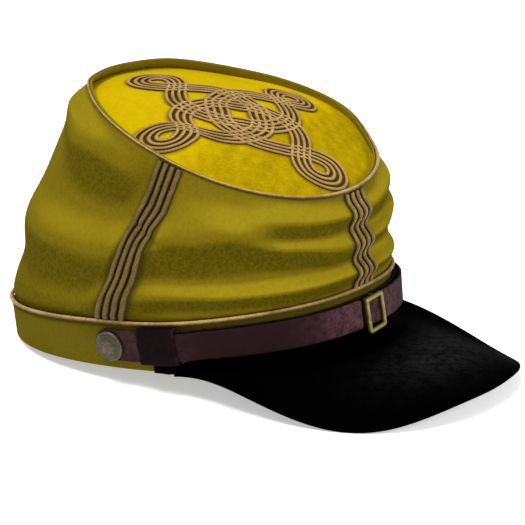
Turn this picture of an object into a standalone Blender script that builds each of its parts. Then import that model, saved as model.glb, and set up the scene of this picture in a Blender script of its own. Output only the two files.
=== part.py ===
"""Kepi cap: felt band and crown, sunken top with a braided knot, leather peak and chin strap.

The cap is worked out in its own frame, in millimetres: +Z up from the plane under the band,
-Y to the front and -X to the wearer's right. An empty then leans it back the little that a
loose cap leans when it rests on the corners of its peak and the back of its band.
"""
import math

import bmesh
import bpy
import numpy as np
from mathutils import Vector
from mathutils.geometry import delaunay_2d_cdt

MM = 0.001

# ---------------------------------------------------------------- driving dimensions (mm)
GAP = 0.3                  # clearance between neighbouring pieces
COLUMNS = 52               # columns round the cap
FELT = 2.2                 # felt of the crown wall
BAND_FELT = 2.6            # felt of the band, which is turned up double
TOP_FELT = 2.0             # felt of the sunken top

# An oval ring: half length, half width, egg (wider front), power (2 is an ellipse),
# centre y and z, pitch (front lower) in degrees, and how far its sides rise.
OVAL_COLUMNS = ("half_length", "half_width", "egg", "power", "y", "z", "pitch", "side_rise")
OVALS = {
    "band_foot": (99.7, 82.5, -0.02, 2.26, 2.0, 0.0, 0.0, 0.0),
    "band_top": (103.0, 86.4, 0.01, 2.26, 0.0, 25.7, -3.7, 0.0),
    "rim": (78.4, 72.3, 0.17, 2.01, -24.2, 109.0, 19.9, 5.6),
}

BAND_CORD_RADIUS = 1.3
RIM_CORD_RADIUS = 1.1
CORD_SIDES = 5
SEAT_FADE = 0.05           # share of the wall's height over which it draws in to a cord
BAND_SEAT_FADE = 0.12      # the same for the band, at its top
WALL_BELOW_RIM = 1.5       # the wall ends this far under the rim cord's line
TOP_BELOW_RIM = 6.0        # the sunken top meets the wall this far under it
TOP_SEAM = 0.4             # between the sunken top's edge and the wall
# Rows of the wall: shares of the way up to the sunken top, then (2) the wall's top edge.
WALL_ROWS = (0.0, 0.05, 0.11, 0.18, 0.26, 0.34, 0.42, 0.50, 0.58, 0.66, 0.74, 0.83, 0.92,
             1.0, 2.0)
BAND_LEVELS = (0.0, 0.12, 0.86, 1.0)

# Soft folds run round the crown wall as three ridges, and its rear is fuller. Stations of each:
# the angle from the front in degrees (positive to the wearer's right), the level between the
# band cord (0) and the rim (1), how far it stands out in mm, and half its height as a level.
RIDGE_COLUMNS = ("angle", "level", "push", "half_height")
RIDGES = {
    "upper": ((-150, 0.92, 5.0, 0.08), (-110, 0.84, 3.2, 0.10), (-84, 0.80, -0.8, 0.09),
              (-60, 0.80, 3.0, 0.10), (-35, 0.81, 5.0, 0.11), (0, 0.765, 4.2, 0.095),
              (30, 0.77, 4.4, 0.11), (52, 0.72, 2.6, 0.12), (70, 0.74, 1.0, 0.11),
              (84, 0.80, -0.8, 0.09), (100, 0.82, 3.0, 0.10), (120, 0.85, 3.4, 0.09),
              (150, 0.92, 5.0, 0.08)),
    "middle": ((-150, 0.40, 6.0, 0.14), (-110, 0.38, 5.6, 0.15), (-84, 0.40, 7.4, 0.17),
               (-60, 0.58, 4.6, 0.12), (-35, 0.565, 4.8, 0.11), (-12, 0.485, 4.0, 0.08),
               (0, 0.475, 4.1, 0.10), (10, 0.46, 4.2, 0.13), (30, 0.52, 4.2, 0.10),
               (50, 0.60, 4.6, 0.12), (68, 0.56, 5.0, 0.15), (84, 0.40, 7.4, 0.17),
               (100, 0.38, 6.0, 0.15), (120, 0.38, 5.6, 0.14), (150, 0.40, 6.0, 0.14)),
    "lower": ((-150, 0.05, 1.4, 0.07), (-110, 0.08, 1.4, 0.07), (-84, 0.16, 4.5, 0.10),
              (-60, 0.18, 2.4, 0.07), (-35, 0.185, 2.2, 0.06), (0, 0.19, 4.2, 0.08),
              (30, 0.17, 3.8, 0.08), (50, 0.17, 3.2, 0.07), (68, 0.18, 3.0, 0.07),
              (84, 0.16, 4.5, 0.10), (100, 0.08, 1.6, 0.07), (150, 0.05, 1.4, 0.07)),
    "rear": ((-170, 0.66, 5.2, 0.32), (-130, 0.66, 4.8, 0.32), (-98, 0.66, 0.0, 0.32),
             (98, 0.66, 0.0, 0.32), (130, 0.66, 4.8, 0.32), (170, 0.66, 5.2, 0.32)),
}
FOLDS_FADE_FOOT = 0.05     # the folds die out over these levels at the band cord
FOLDS_FADE_RIM = 0.09      # and at the rim

TOP_CROWN = 9.7            # the top's middle stands this far above the rim's plane
TOP_RINGS = (1.0, 0.76, 0.52, 0.28)     # shares of the way out, the middle point apart

# Braid laid up the wall: angles at the band cord and at the rim, width of the set at each.
SET_COLUMNS = ("angle_low", "angle_high", "width_low", "width_high")
BRAID_SETS = {
    "front": (0.4, -1.6, 17.4, 17.4),
    "right": (87.1, 76.5, 17.8, 15.6),
    "left": (-87.1, -76.5, 17.8, 15.6),
    "back": (180.0, 180.0, 17.8, 15.6),
}
STRANDS = 4
STRAND_SHARE = 0.17        # one strand's width as a share of the set's
STRAND_RISE = 1.5
STRAND_CROWN = 0.65        # the strand's flat top as a share of its width
STRAND_LIFT = 0.45         # clear of the wall's facets
STRAND_END_ROW = 1.85      # the strands end just under the rim cord

# One eighth of the knot's middle line, in the frame of one arm: distance out along the arm,
# distance to its side, and half the width of the laid cords there.
KNOT_COLUMNS = ("along", "across", "half_width")
KNOT_EIGHTH = {
    "loop_tip": (63.4, 0.0, 5.9),
    "loop_shoulder": (60.6, 6.7, 5.9),
    "loop_side": (54.2, 9.4, 5.9),
    "loop_heel": (47.4, 6.3, 5.5),
    "crossing": (41.8, 0.0, 4.7),
    "leg": (35.0, -8.2, 4.8),
    "bow": (28.0, -14.0, 5.0),
    "side": (19.5, -16.5, 5.3),
    "side_low": (11.0, -16.4, 5.4),
    "turn": (3.5, -14.9, 5.6),
    "corner": (-2.2, -11.7, 6.0),
    "diagonal": (-7.0, -7.0, 6.3),
}
KNOT_STEPS = 2             # steps between two rows of the table
KNOT_RISE = 1.2
KNOT_LIFT = 0.5
KNOT_SIZE = 0.955          # the whole knot against the table
KNOT_CENTRE = (-1.2, 4.9)  # its middle on the top, to the left and forward of the rim's centre
KNOT_SKEW = (0.035, 0.035)     # the knot was laid by hand: its two axes lean a little
KNOT_BOW = 0.0020              # and the side arms bend to the back
KNOT_MERGE = 0.4               # points of its plan closer than this become one
KNOT_INSIDE = 0.05             # a cell of its plan counts if its middle is this far inside

# The peak's outer edge, as a superellipse that widens forward and arches up in the middle.
PEAK = {"half_width": 73.9, "power": 1.795, "start": 25.5, "reach": 155.4, "widen": 0.708,
        "lift": 0.334, "sag": 0.0045, "arch": 50.3, "tail_z": -1.1}
PEAK_THICKNESS = 2.2
PEAK_COLUMNS = 34
PEAK_TAIL_ANGLE = 72.5     # where the peak's tail ends on the band
PEAK_TAIL_REACH = 8.0      # a blade that stands out less than this turns into the tail
PEAK_TAIL_DROP = 2.4       # the tail's lower edge under the seam
PEAK_EVEN = 0.65           # how evenly the seam follows the band against the blade's edge
PEAK_ROWS = (0.0, 0.25, 0.5, 0.75, 1.0)
PEAK_CAMBER = 0.5
PEAK_CLEAR = 0.5           # between the peak's flange and the band's facets
PEAK_FLANGE = (20.0, 22.1) # reaches up to this far under the band cord, in front and at the tails
PEAK_FLANGE_TURN = (52.0, 61.0)    # from the one to the other between these angles
PEAK_SEAM_Z = 1.4

STRAP_WIDTH = 16.0
STRAP_THICKNESS = 1.6
STRAP_BELOW_CORD = 11.4    # middle of the strap, below the band cord
STRAP_BUTTON_ANGLE = 86.8
STRAP_STANDOFF = 6.9       # outer face to band at the front, where the strap hangs free
STRAP_LEAN = 12.0          # there its lower edge rests further out on the peak, in degrees
STRAP_PARTING = 1.2        # and there the two layers part by this much more
STRAP_DOUBLE_ANGLE = 77.5  # from here the outer layer rises to lie over the under layer
STRAP_DOUBLE_SPAN = 12.0
STRAP_FREE_ANGLE = 64.0    # from here to the front both layers lift off the band
STRAP_FREE_SPAN = 42.0
STRAP_STEPS = 44
UNDER_STRAP_ANGLE = 65.5
UNDER_STRAP_WIDTH = 14.4
UNDER_STRAP_RAISE = 1.0    # its middle over the outer strap's, so that its top edge shows
STRAP_END_ROUNDING = 8     # steps of each half-round end
STRAP_END_START = 0.35     # share of a step at which the rounding starts

KEEPER_ANGLES = (63.8, 77.2)
KEEPER_HEIGHT = 20.0
KEEPER_WALL = 1.3
KEEPER_STEPS = 5
KEEPER_FADE = 9.0          # the strap rises over the keeper's back wall within this angle

BUCKLE_WIDTH = 16.2
BUCKLE_HEIGHT = 20.0
BUCKLE_BAR = 2.0
BUCKLE_DEPTH = 1.8
BUCKLE_BACK_HALF = 1.3     # half the width of the bar behind the strap
BUCKLE_BACK_BAR = 0.8      # and its thickness
BUCKLE_LEG = 0.8           # the legs that reach back round the strap's edges
BUCKLE_CLEAR = 0.45        # between the frame and the strap's faceted outer face
BUCKLE_BACK_CLEAR = 0.1    # added to the gap between the back bar and the outer strap

BUTTON_DROP = 1.0          # its middle under the strap's middle line
BUTTON_RADIUS = 7.9
BUTTON_PROFILE = ((0.92, 0.0), (1.0, 0.7), (0.95, 1.2), (0.78, 1.8), (0.45, 2.8))
BUTTON_HEIGHT = 3.1        # its middle over its foot; the rows above are radius and height
BUTTON_SIDES = 20
SHANK_RADIUS = 1.6
SHANK_HOLE_RADIUS = 2.0
SHANK_SIDES = 12
SHANK_PAST_BAND = 1.2
SHANK_HOLE_REACH = (-12.0, 4.0)

ANGLE_STEP = 0.01          # radians to either side when a direction or a pace is measured
LEAN_LIMIT = 15.0          # the cap leans back less than this, in degrees

SMOOTH_ANGLE = 40.0        # edges sharper than this stay sharp, in degrees
WALL_SMOOTH_ANGLE = 60.0
PEAK_SMOOTH_ANGLE = 50.0
BUTTON_SMOOTH_ANGLE = 35.0
CORD_SMOOTH_ANGLE = 180.0

COLOURS = {   # base colour, roughness, metallic
    "felt": ((0.235, 0.190, 0.010), 0.95, 0.0),
    "top_felt": ((0.620, 0.480, 0.004), 0.95, 0.0),
    "braid": ((0.330, 0.210, 0.085), 0.65, 0.0),
    "peak_leather": ((0.004, 0.004, 0.004), 0.38, 0.0),
    "strap_leather": ((0.060, 0.024, 0.030), 0.55, 0.0),
    "keeper_leather": ((0.016, 0.006, 0.008), 0.55, 0.0),
    "old_brass": ((0.250, 0.220, 0.110), 0.50, 1.0),
}


# ---------------------------------------------------------------- curves and surfaces
def smooth_step(x):
    x = np.clip(x, 0.0, 1.0)
    return x * x * (3.0 - 2.0 * x)


def oval(name, angle):
    """Points of a named oval at angles from the front, positive to the wearer's right."""
    size = dict(zip(OVAL_COLUMNS, OVALS[name]))
    c = np.cos(angle)
    s = np.sin(angle)
    reach = (np.abs(c) ** size["power"] + np.abs(s) ** size["power"]) ** (-1.0 / size["power"])
    c = c * reach
    s = s * reach
    pitch = math.radians(size["pitch"])
    x = -size["half_width"] * s * (1.0 + size["egg"] * c)
    y = -size["half_length"] * c
    z = size["z"] + y * math.sin(pitch) + size["side_rise"] * s * s
    return np.stack([x, size["y"] + y * math.cos(pitch), z], axis=-1)


def blend(low, high, angle, level):
    level = np.asarray(level)[..., None]
    return oval(low, angle) * (1.0 - level) + oval(high, angle) * level


def outward(low, high, angle, level):
    """Level unit vectors square to the blended oval, pointing away from the cap."""
    along = (blend(low, high, angle + ANGLE_STEP, level)
             - blend(low, high, angle - ANGLE_STEP, level))
    normal = np.stack([along[..., 1], -along[..., 0], np.zeros_like(along[..., 0])], axis=-1)
    return -normal / np.linalg.norm(normal, axis=-1, keepdims=True)


def ridge_values(stations, turn):
    """Level, push and half height of a ridge at angles in degrees, smooth between stations."""
    ridge = dict(zip(RIDGE_COLUMNS, np.array(stations + stations[:1], float).T))
    angle = ridge["angle"]
    angle[-1] += 360.0
    turn = (turn - angle[0]) % 360.0 + angle[0]
    index = np.clip(np.searchsorted(angle, turn, side="right") - 1, 0, len(stations) - 1)
    share = smooth_step((turn - angle[index]) / (angle[index + 1] - angle[index]))
    return [ridge[name][index] * (1.0 - share) + ridge[name][index + 1] * share
            for name in ("level", "push", "half_height")]


def fold_push(angle, level):
    """How far the folds push the crown wall out at an angle and a level."""
    turn = np.degrees(angle)
    push = np.zeros(np.broadcast(turn, level).shape)
    for stations in RIDGES.values():
        middle, height, half = ridge_values(stations, turn)
        push = push + height * np.exp(-((level - middle) / half) ** 2)
    return (push * smooth_step(level / FOLDS_FADE_FOOT)
            * smooth_step((1.0 - level) / FOLDS_FADE_RIM))


def wall(angle, level, inset=0.0):
    """The crown wall's outer face, or a point set in from it by inset."""
    angle = np.asarray(angle, float)
    level = np.asarray(level, float)
    seat = (BAND_CORD_RADIUS + GAP) * np.clip(1.0 - level / SEAT_FADE, 0.0, 1.0)
    push = fold_push(angle, level) - seat - inset
    return (blend("band_top", "rim", angle, level)
            + outward("band_top", "rim", angle, level) * push[..., None])


def band_wall(angle, level, inset=0.0):
    """The band's outer face, drawn in at its top to seat the band cord."""
    angle = np.asarray(angle, float)
    level = np.asarray(level, float)
    seat = np.clip((level - 1.0) / BAND_SEAT_FADE + 1.0, 0.0, 1.0)
    seat = seat * (BAND_CORD_RADIUS + GAP)
    return (blend("band_foot", "band_top", angle, level)
            - outward("band_foot", "band_top", angle, level) * (seat + inset)[..., None])


def column_angles():
    return np.arange(COLUMNS) * 2.0 * math.pi / COLUMNS


def level_below_rim(angle, distance):
    """The level of the wall that lies a distance under the rim, measured up the wall."""
    height = np.linalg.norm(oval("rim", angle) - oval("band_top", angle), axis=-1)
    return 1.0 - distance / height


def row_level(angle, row):
    """The level of a wall row: up to 1 a share of the way to the sunken top, 2 the top edge."""
    sunk = level_below_rim(angle, TOP_BELOW_RIM)
    edge = level_below_rim(angle, WALL_BELOW_RIM)
    return np.where(row <= 1.0, row * sunk, sunk + (row - 1.0) * (edge - sunk))


def wall_facets(angle, row, lift):
    """Points over the faceted wall between its columns, so that braid never cuts in."""
    step = 2.0 * math.pi / COLUMNS
    column = np.floor(angle / step)
    across = (angle / step - column)[..., None]
    before = wall(column * step, row_level(column * step, row))
    after = wall((column + 1) * step, row_level((column + 1) * step, row))
    out = outward("band_top", "rim", angle, row_level(angle, row))
    return before * (1.0 - across) + after * across + out * lift


def rim_axes():
    """Centre of the rim's plane and its unit vectors: to the left, to the front, and up."""
    size = dict(zip(OVAL_COLUMNS, OVALS["rim"]))
    pitch = math.radians(size["pitch"])
    centre = np.array([0.0, size["y"], size["z"]])
    left = np.array([1.0, 0.0, 0.0])
    front = np.array([0.0, -math.cos(pitch), -math.sin(pitch)])
    up = np.array([0.0, -math.sin(pitch), math.cos(pitch)])
    return centre, left, front, up


def top_edge():
    """The sunken top's edge in the rim's plane: polar angle, radius and height per column."""
    centre, left, front, up = rim_axes()
    angle = column_angles()
    ring = wall(angle, level_below_rim(angle, TOP_BELOW_RIM), FELT + TOP_SEAM)
    away = ring - centre
    u = away @ left
    v = away @ front
    order = np.argsort(np.arctan2(v, u))
    return np.arctan2(v, u)[order], np.hypot(u, v)[order], (away @ up)[order]


def top_surface(u, v, lift=0.0):
    """A point of the crowned top over the rim's plane, raised by lift."""
    centre, left, front, up = rim_axes()
    turn, radius, height = top_edge()
    edge_radius = np.interp(np.arctan2(v, u), turn, radius, period=2.0 * math.pi)
    edge_height = np.interp(np.arctan2(v, u), turn, height, period=2.0 * math.pi)
    share = (np.hypot(u, v) / edge_radius) ** 2
    rise = TOP_CROWN * (1.0 - share) + edge_height * share + lift
    return (centre + np.asarray(u)[..., None] * left + np.asarray(v)[..., None] * front
            + np.asarray(rise)[..., None] * up)


# ---------------------------------------------------------------- meshes and objects
def material(name):
    colour, roughness, metallic = COLOURS[name]
    made = bpy.data.materials.new(name)
    made.use_nodes = True
    shader = made.node_tree.nodes["Principled BSDF"]
    shader.inputs["Base Color"].default_value = (*colour, 1.0)
    shader.inputs["Roughness"].default_value = roughness
    shader.inputs["Metallic"].default_value = metallic
    made.diffuse_color = (*colour, 1.0)
    return made


def add_object(name, points, faces, finish, parent, sharp_angle=SMOOTH_ANGLE):
    mesh = bpy.data.meshes.new(name)
    mesh.from_pydata([Vector(point) * MM for point in points], [], faces)
    work = bmesh.new()
    work.from_mesh(mesh)
    bmesh.ops.recalc_face_normals(work, faces=work.faces)
    work.to_mesh(mesh)
    work.free()
    mesh.shade_smooth()
    mesh.set_sharp_from_angle(angle=math.radians(sharp_angle))
    mesh.materials.append(material(finish))
    made = bpy.data.objects.new(name, mesh)
    made.parent = parent
    bpy.context.scene.collection.objects.link(made)
    return made


def loop_faces(rows, columns, close_rows):
    """Quads of a grid that closes round its columns, and round its rows where asked."""
    faces = []
    for row in range(rows if close_rows else rows - 1):
        after = (row + 1) % rows
        for column in range(columns):
            across = (column + 1) % columns
            faces.append((row * columns + column, row * columns + across,
                          after * columns + across, after * columns + column))
    return faces


def strip_faces(stations, sides):
    """Quads of a closed section swept along stations, with a face over each end."""
    faces = []
    for station in range(stations - 1):
        for side in range(sides):
            across = (side + 1) % sides
            faces.append((station * sides + side, station * sides + across,
                          (station + 1) * sides + across, (station + 1) * sides + side))
    faces.append(tuple(range(sides)))
    faces.append(tuple((stations - 1) * sides + side for side in range(sides)))
    return faces


def ring_wall(name, face, levels, felt, finish, parent):
    """A wall round the cap between its outer face and the same face set in by its felt."""
    angle = column_angles()
    outer = [face(angle, level) for level in levels]
    inner = [face(angle, level, felt) for level in levels[::-1]]
    points = np.concatenate(outer + inner)
    faces = loop_faces(2 * len(levels), COLUMNS, True)
    return add_object(name, points, faces, finish, parent, WALL_SMOOTH_ANGLE)


def cord_ring(name, centre, radius, parent):
    """A round cord laid round the cap along a closed line."""
    line = centre(column_angles())
    along = np.roll(line, -1, axis=0) - np.roll(line, 1, axis=0)
    along /= np.linalg.norm(along, axis=1, keepdims=True)
    side = np.cross(along, [0.0, 0.0, 1.0])
    side /= np.linalg.norm(side, axis=1, keepdims=True)
    up = np.cross(side, along)
    rows = []
    for turn in np.arange(CORD_SIDES) * 2.0 * math.pi / CORD_SIDES + math.pi / 2.0:
        rows.append(line + radius * (math.cos(turn) * side + math.sin(turn) * up))
    return add_object(name, np.concatenate(rows), loop_faces(CORD_SIDES, COLUMNS, True),
                      "braid", parent, CORD_SMOOTH_ANGLE)


# ---------------------------------------------------------------- the pieces
def make_band(parent):
    levels = np.array([np.full(COLUMNS, level) for level in BAND_LEVELS])
    return ring_wall("band", band_wall, levels, BAND_FELT, "felt", parent)


def crown_wall_face(angle, level, inset=0.0):
    """The crown wall, lifted at its foot to clear the band."""
    lift = GAP * np.clip(1.0 - level / SEAT_FADE, 0.0, 1.0)
    return wall(angle, level, inset) + np.array([0.0, 0.0, 1.0]) * lift[..., None]


def make_crown_side(parent):
    angle = column_angles()
    levels = np.array([row_level(angle, row) for row in WALL_ROWS])
    return ring_wall("crown_side", crown_wall_face, levels, FELT, "felt", parent)


def make_crown_top(parent):
    """The sunken top: rings that crown up to the middle, above and below."""
    turn, radius, _ = top_edge()
    up = rim_axes()[3]
    rings = []
    for share in TOP_RINGS:
        u = np.cos(turn) * radius * share
        v = np.sin(turn) * radius * share
        rings.append(top_surface(u, v))
    middle = top_surface(np.zeros(1), np.zeros(1))
    upper = np.concatenate(rings)
    lower = upper - up * TOP_FELT
    points = np.concatenate([upper, lower, middle, middle - up * TOP_FELT])
    count = len(upper)
    columns = len(turn)
    ring_total = len(rings)
    faces = loop_faces(ring_total, columns, False)
    faces += [tuple(index + count for index in face) for face in faces[:]]
    last = (ring_total - 1) * columns
    for column in range(columns):
        across = (column + 1) % columns
        faces.append((last + column, last + across, 2 * count))
        faces.append((count + last + column, count + last + across, 2 * count + 1))
        faces.append((column, across, count + across, count + column))
    return add_object("crown_top", points, faces, "top_felt", parent, WALL_SMOOTH_ANGLE)


def make_cords(parent):
    cord_ring("band_cord", lambda angle: oval("band_top", angle), BAND_CORD_RADIUS, parent)
    cord_ring("rim_cord", lambda angle: oval("rim", angle), RIM_CORD_RADIUS, parent)


def make_braid_strips(parent):
    """Each set of braid is four flat ribs that follow the folds of the wall."""
    for set_name, sizes in BRAID_SETS.items():
        braid = dict(zip(SET_COLUMNS, sizes))
        row = np.array(WALL_ROWS[1:-1] + (STRAND_END_ROW,))
        share = np.minimum(row, 1.0)
        angle = np.radians(braid["angle_low"] * (1.0 - share) + braid["angle_high"] * share)
        width = braid["width_low"] * (1.0 - share) + braid["width_high"] * share
        level = row_level(angle, row)
        pace = wall(angle + ANGLE_STEP, level) - wall(angle - ANGLE_STEP, level)
        pace = np.linalg.norm(pace, axis=1) / (2.0 * ANGLE_STEP)
        for strand in range(STRANDS):
            middle = (strand - (STRANDS - 1) / 2.0) * (1.0 - STRAND_SHARE) / (STRANDS - 1)
            half = STRAND_SHARE / 2.0
            crown = half * STRAND_CROWN
            section = ((middle - half, STRAND_LIFT), (middle + half, STRAND_LIFT),
                       (middle + crown, STRAND_LIFT + STRAND_RISE),
                       (middle - crown, STRAND_LIFT + STRAND_RISE))
            corners = [wall_facets(angle + side * width / pace, row, lift)
                       for side, lift in section]
            points = np.stack(corners, axis=1).reshape(-1, 3)
            add_object(f"braid_{set_name}_{strand + 1}", points,
                       strip_faces(len(row), len(section)), "braid", parent)


def knot_line():
    """The knot's middle line as four closed-up quarter arcs: place and half width."""
    table = dict(zip(KNOT_COLUMNS, np.array(list(KNOT_EIGHTH.values())).T * KNOT_SIZE))
    rows = np.stack([-table["across"], table["along"], table["half_width"]], axis=1)
    mirrored = rows[-2::-1].copy()
    mirrored[:, :2] = -mirrored[:, 1::-1]
    quarter = np.concatenate([rows, mirrored])
    before = 2.0 * quarter[0] - quarter[1]
    before[:2] = quarter[1, :2] * (-1.0, 1.0)
    after = quarter[-2].copy()
    after[:2] = quarter[-2, :2] * (1.0, -1.0)
    padded = np.concatenate([[before], quarter, [after]])
    line = []
    for index in range(1, len(padded) - 2):
        a, b, c, d = padded[index - 1:index + 3]
        for step in range(KNOT_STEPS):
            t = step / KNOT_STEPS
            line.append(0.5 * (2.0 * b + (c - a) * t + (2.0 * a - 5.0 * b + 4.0 * c - d) * t * t
                               + (3.0 * b - a - 3.0 * c + d) * t ** 3))
    line.append(quarter[-1])
    return np.array(line)


def knot_place(x, y):
    """Lay a point of the flat knot on the top, with the slight lean of hand work."""
    u = KNOT_CENTRE[0] + x + KNOT_SKEW[0] * y
    v = KNOT_CENTRE[1] + y + KNOT_SKEW[1] * x - KNOT_BOW * x * x
    return u, v


def make_knot(parent):
    """The laid cords as one plate: the band along the knot's line, with its openings."""
    quarter = knot_line()
    lines = []
    for turn in range(4):
        c, s = round(math.cos(turn * math.pi / 2)), round(math.sin(turn * math.pi / 2))
        place = quarter.copy()
        place[:, 0] = c * quarter[:, 0] - s * quarter[:, 1]
        place[:, 1] = s * quarter[:, 0] + c * quarter[:, 1]
        lines.append(place)
    points = []
    edges = []
    for place in lines:
        along = np.gradient(place[:, :2], axis=0)
        along /= np.linalg.norm(along, axis=1, keepdims=True)
        side = np.stack([-along[:, 1], along[:, 0]], axis=1) * place[:, 2:]
        for edge in (place[:, :2] + side, place[:, :2] - side):
            first = len(points)
            points += [Vector(point) for point in edge]
            edges += [(first + index, first + index + 1) for index in range(len(edge) - 1)]
    found = delaunay_2d_cdt(points, edges, [], 0, KNOT_MERGE)
    flat = np.array([tuple(point) for point in found[0]])
    ends = np.concatenate([np.roll(line, -1, axis=0)[:-1] for line in lines])
    starts = np.concatenate([line[:-1] for line in lines])

    def covered(point):
        span = ends[:, :2] - starts[:, :2]
        share = ((point - starts[:, :2]) * span).sum(axis=1) / (span * span).sum(axis=1)
        share = np.clip(share, 0.0, 1.0)
        near = starts[:, :2] + span * share[:, None]
        half = starts[:, 2] * (1.0 - share) + ends[:, 2] * share
        return bool((np.linalg.norm(point - near, axis=1) < half - KNOT_INSIDE).any())

    cells = [face for face in found[2] if covered(flat[list(face)].mean(axis=0))]
    used = sorted({index for face in cells for index in face})
    number = {index: order for order, index in enumerate(used)}
    u, v = knot_place(flat[used, 0], flat[used, 1])
    lower = top_surface(u, v, KNOT_LIFT)
    upper = top_surface(u, v, KNOT_LIFT + KNOT_RISE)
    count = len(used)
    faces = [tuple(number[index] for index in reversed(face)) for face in cells]
    faces += [tuple(number[index] + count for index in face) for face in cells]
    borders = {}
    for face in cells:
        for index in range(len(face)):
            edge = (number[face[index]], number[face[(index + 1) % len(face)]])
            borders[edge] = edge[::-1] in borders or borders.get(edge, False)
    for a, b in borders:
        if (b, a) not in borders:
            faces.append((a, b, b + count, a + count))
    return add_object("crown_knot", np.concatenate([lower, upper]), faces, "braid", parent)


def peak_edge(turn):
    """The peak's outer edge, turn running from -90 to 90 degrees across the front."""
    s = np.sin(turn)
    c = np.cos(turn)
    across = PEAK["half_width"] * np.sign(s) * np.abs(s) ** (2.0 / PEAK["power"])
    ahead = np.abs(c) ** (2.0 / PEAK["power"])
    x = across * (1.0 + PEAK["widen"] * ahead)
    forward = PEAK["reach"] * ahead
    arch = PEAK["arch"] * ahead * (1.0 - (x / PEAK["half_width"]) ** 2)
    z = PEAK["tail_z"] + PEAK["lift"] * forward - PEAK["sag"] * forward ** 2 + arch
    return np.stack([-x, -PEAK["start"] - forward, z], axis=-1)


def band_outside(angle, z, away):
    """A point at height z on the outside of the band, away from it by a distance."""
    return band_wall(angle, z / oval("band_top", angle)[..., 2], -away)


def make_visor(parent):
    """The peak: a thin leather blade with a low flange against the band."""
    turn = np.linspace(-math.pi / 2.0, math.pi / 2.0, PEAK_COLUMNS + 1)
    share = np.sin(turn) * (1.0 - PEAK_EVEN) + turn / (math.pi / 2.0) * PEAK_EVEN
    angle = share * math.radians(PEAK_TAIL_ANGLE)
    seam = band_outside(angle, PEAK_SEAM_Z, PEAK_CLEAR + PEAK_THICKNESS)
    out = outward("band_foot", "band_top", angle, np.zeros(len(angle)))
    up = np.array([0.0, 0.0, 1.0])
    edge = peak_edge(turn)
    blade_share = smooth_step(((edge - seam) * out).sum(axis=1) / PEAK_TAIL_REACH)
    blade = blade_share[:, None]
    edge = edge * blade + (seam - up * PEAK_TAIL_DROP) * (1.0 - blade)
    low, high = PEAK_FLANGE_TURN
    tail_share = smooth_step((np.abs(np.degrees(angle)) - low) / (high - low))
    flange_below = PEAK_FLANGE[0] * (1.0 - tail_share) + PEAK_FLANGE[1] * tail_share
    flange_z = oval("band_top", angle)[:, 2] - flange_below
    heel_z = PEAK_SEAM_Z - PEAK_THICKNESS * blade_share
    upper = []
    for part in PEAK_ROWS:
        camber = PEAK_CAMBER * math.sin(math.pi * part) * blade
        upper.append(seam * (1.0 - part) + edge * part + camber * up)
    upper = np.stack(upper)
    normal = np.cross(np.gradient(upper, axis=1), np.gradient(upper, axis=0))
    normal /= np.linalg.norm(normal, axis=2, keepdims=True)
    normal *= np.sign((normal * (out + up)).sum(axis=2, keepdims=True))
    lower = upper[1:] - normal[1:] * PEAK_THICKNESS
    rows = [band_outside(angle, flange_z, PEAK_CLEAR + PEAK_THICKNESS), *upper, *lower[::-1],
            band_outside(angle, heel_z, PEAK_CLEAR),
            band_outside(angle, flange_z, PEAK_CLEAR)]
    points = np.stack(rows).transpose(1, 0, 2).reshape(-1, 3)
    return add_object("visor", points, strip_faces(PEAK_COLUMNS + 1, len(rows)),
                      "peak_leather", parent, PEAK_SMOOTH_ANGLE)


def strap_free(angle):
    """How freely the strap hangs: 0 where it lies on the band, 1 at the front."""
    return smooth_step((STRAP_FREE_ANGLE - np.abs(np.degrees(angle))) / STRAP_FREE_SPAN)


def strap_gap(angle):
    """Distance from the band to the middle of the strap's inner face."""
    turn = np.degrees(angle)
    off_keeper = np.maximum(KEEPER_ANGLES[0] - turn, turn - KEEPER_ANGLES[1])
    keeper = (KEEPER_WALL + GAP) * smooth_step(1.0 - off_keeper / KEEPER_FADE)
    turn = np.abs(turn)
    layer = STRAP_THICKNESS + GAP
    double = layer * smooth_step((STRAP_DOUBLE_ANGLE - turn) / STRAP_DOUBLE_SPAN)
    free_gap = (STRAP_STANDOFF - STRAP_THICKNESS - GAP - layer) * strap_free(angle)
    return GAP + double + np.maximum(keeper, free_gap)


def strap_point(angle, height, away):
    """A point beside the strap's middle line: height up its face, away from the band."""
    lean = math.radians(STRAP_LEAN) * strap_free(angle)
    depth = away - strap_gap(angle)
    rise = height * np.cos(lean) + depth * np.sin(lean)
    away = strap_gap(angle) + depth * np.cos(lean) - height * np.sin(lean)
    top = oval("band_top", angle)[..., 2]
    level = (top - STRAP_BELOW_CORD + rise) / top
    ring = blend("band_foot", "band_top", angle, level)
    return ring + outward("band_foot", "band_top", angle, level) * away[..., None]


def under_gap(angle):
    """Distance from the band to the inner face of the under strap."""
    return strap_gap(angle) - STRAP_THICKNESS - GAP - STRAP_PARTING * strap_free(angle)


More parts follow.
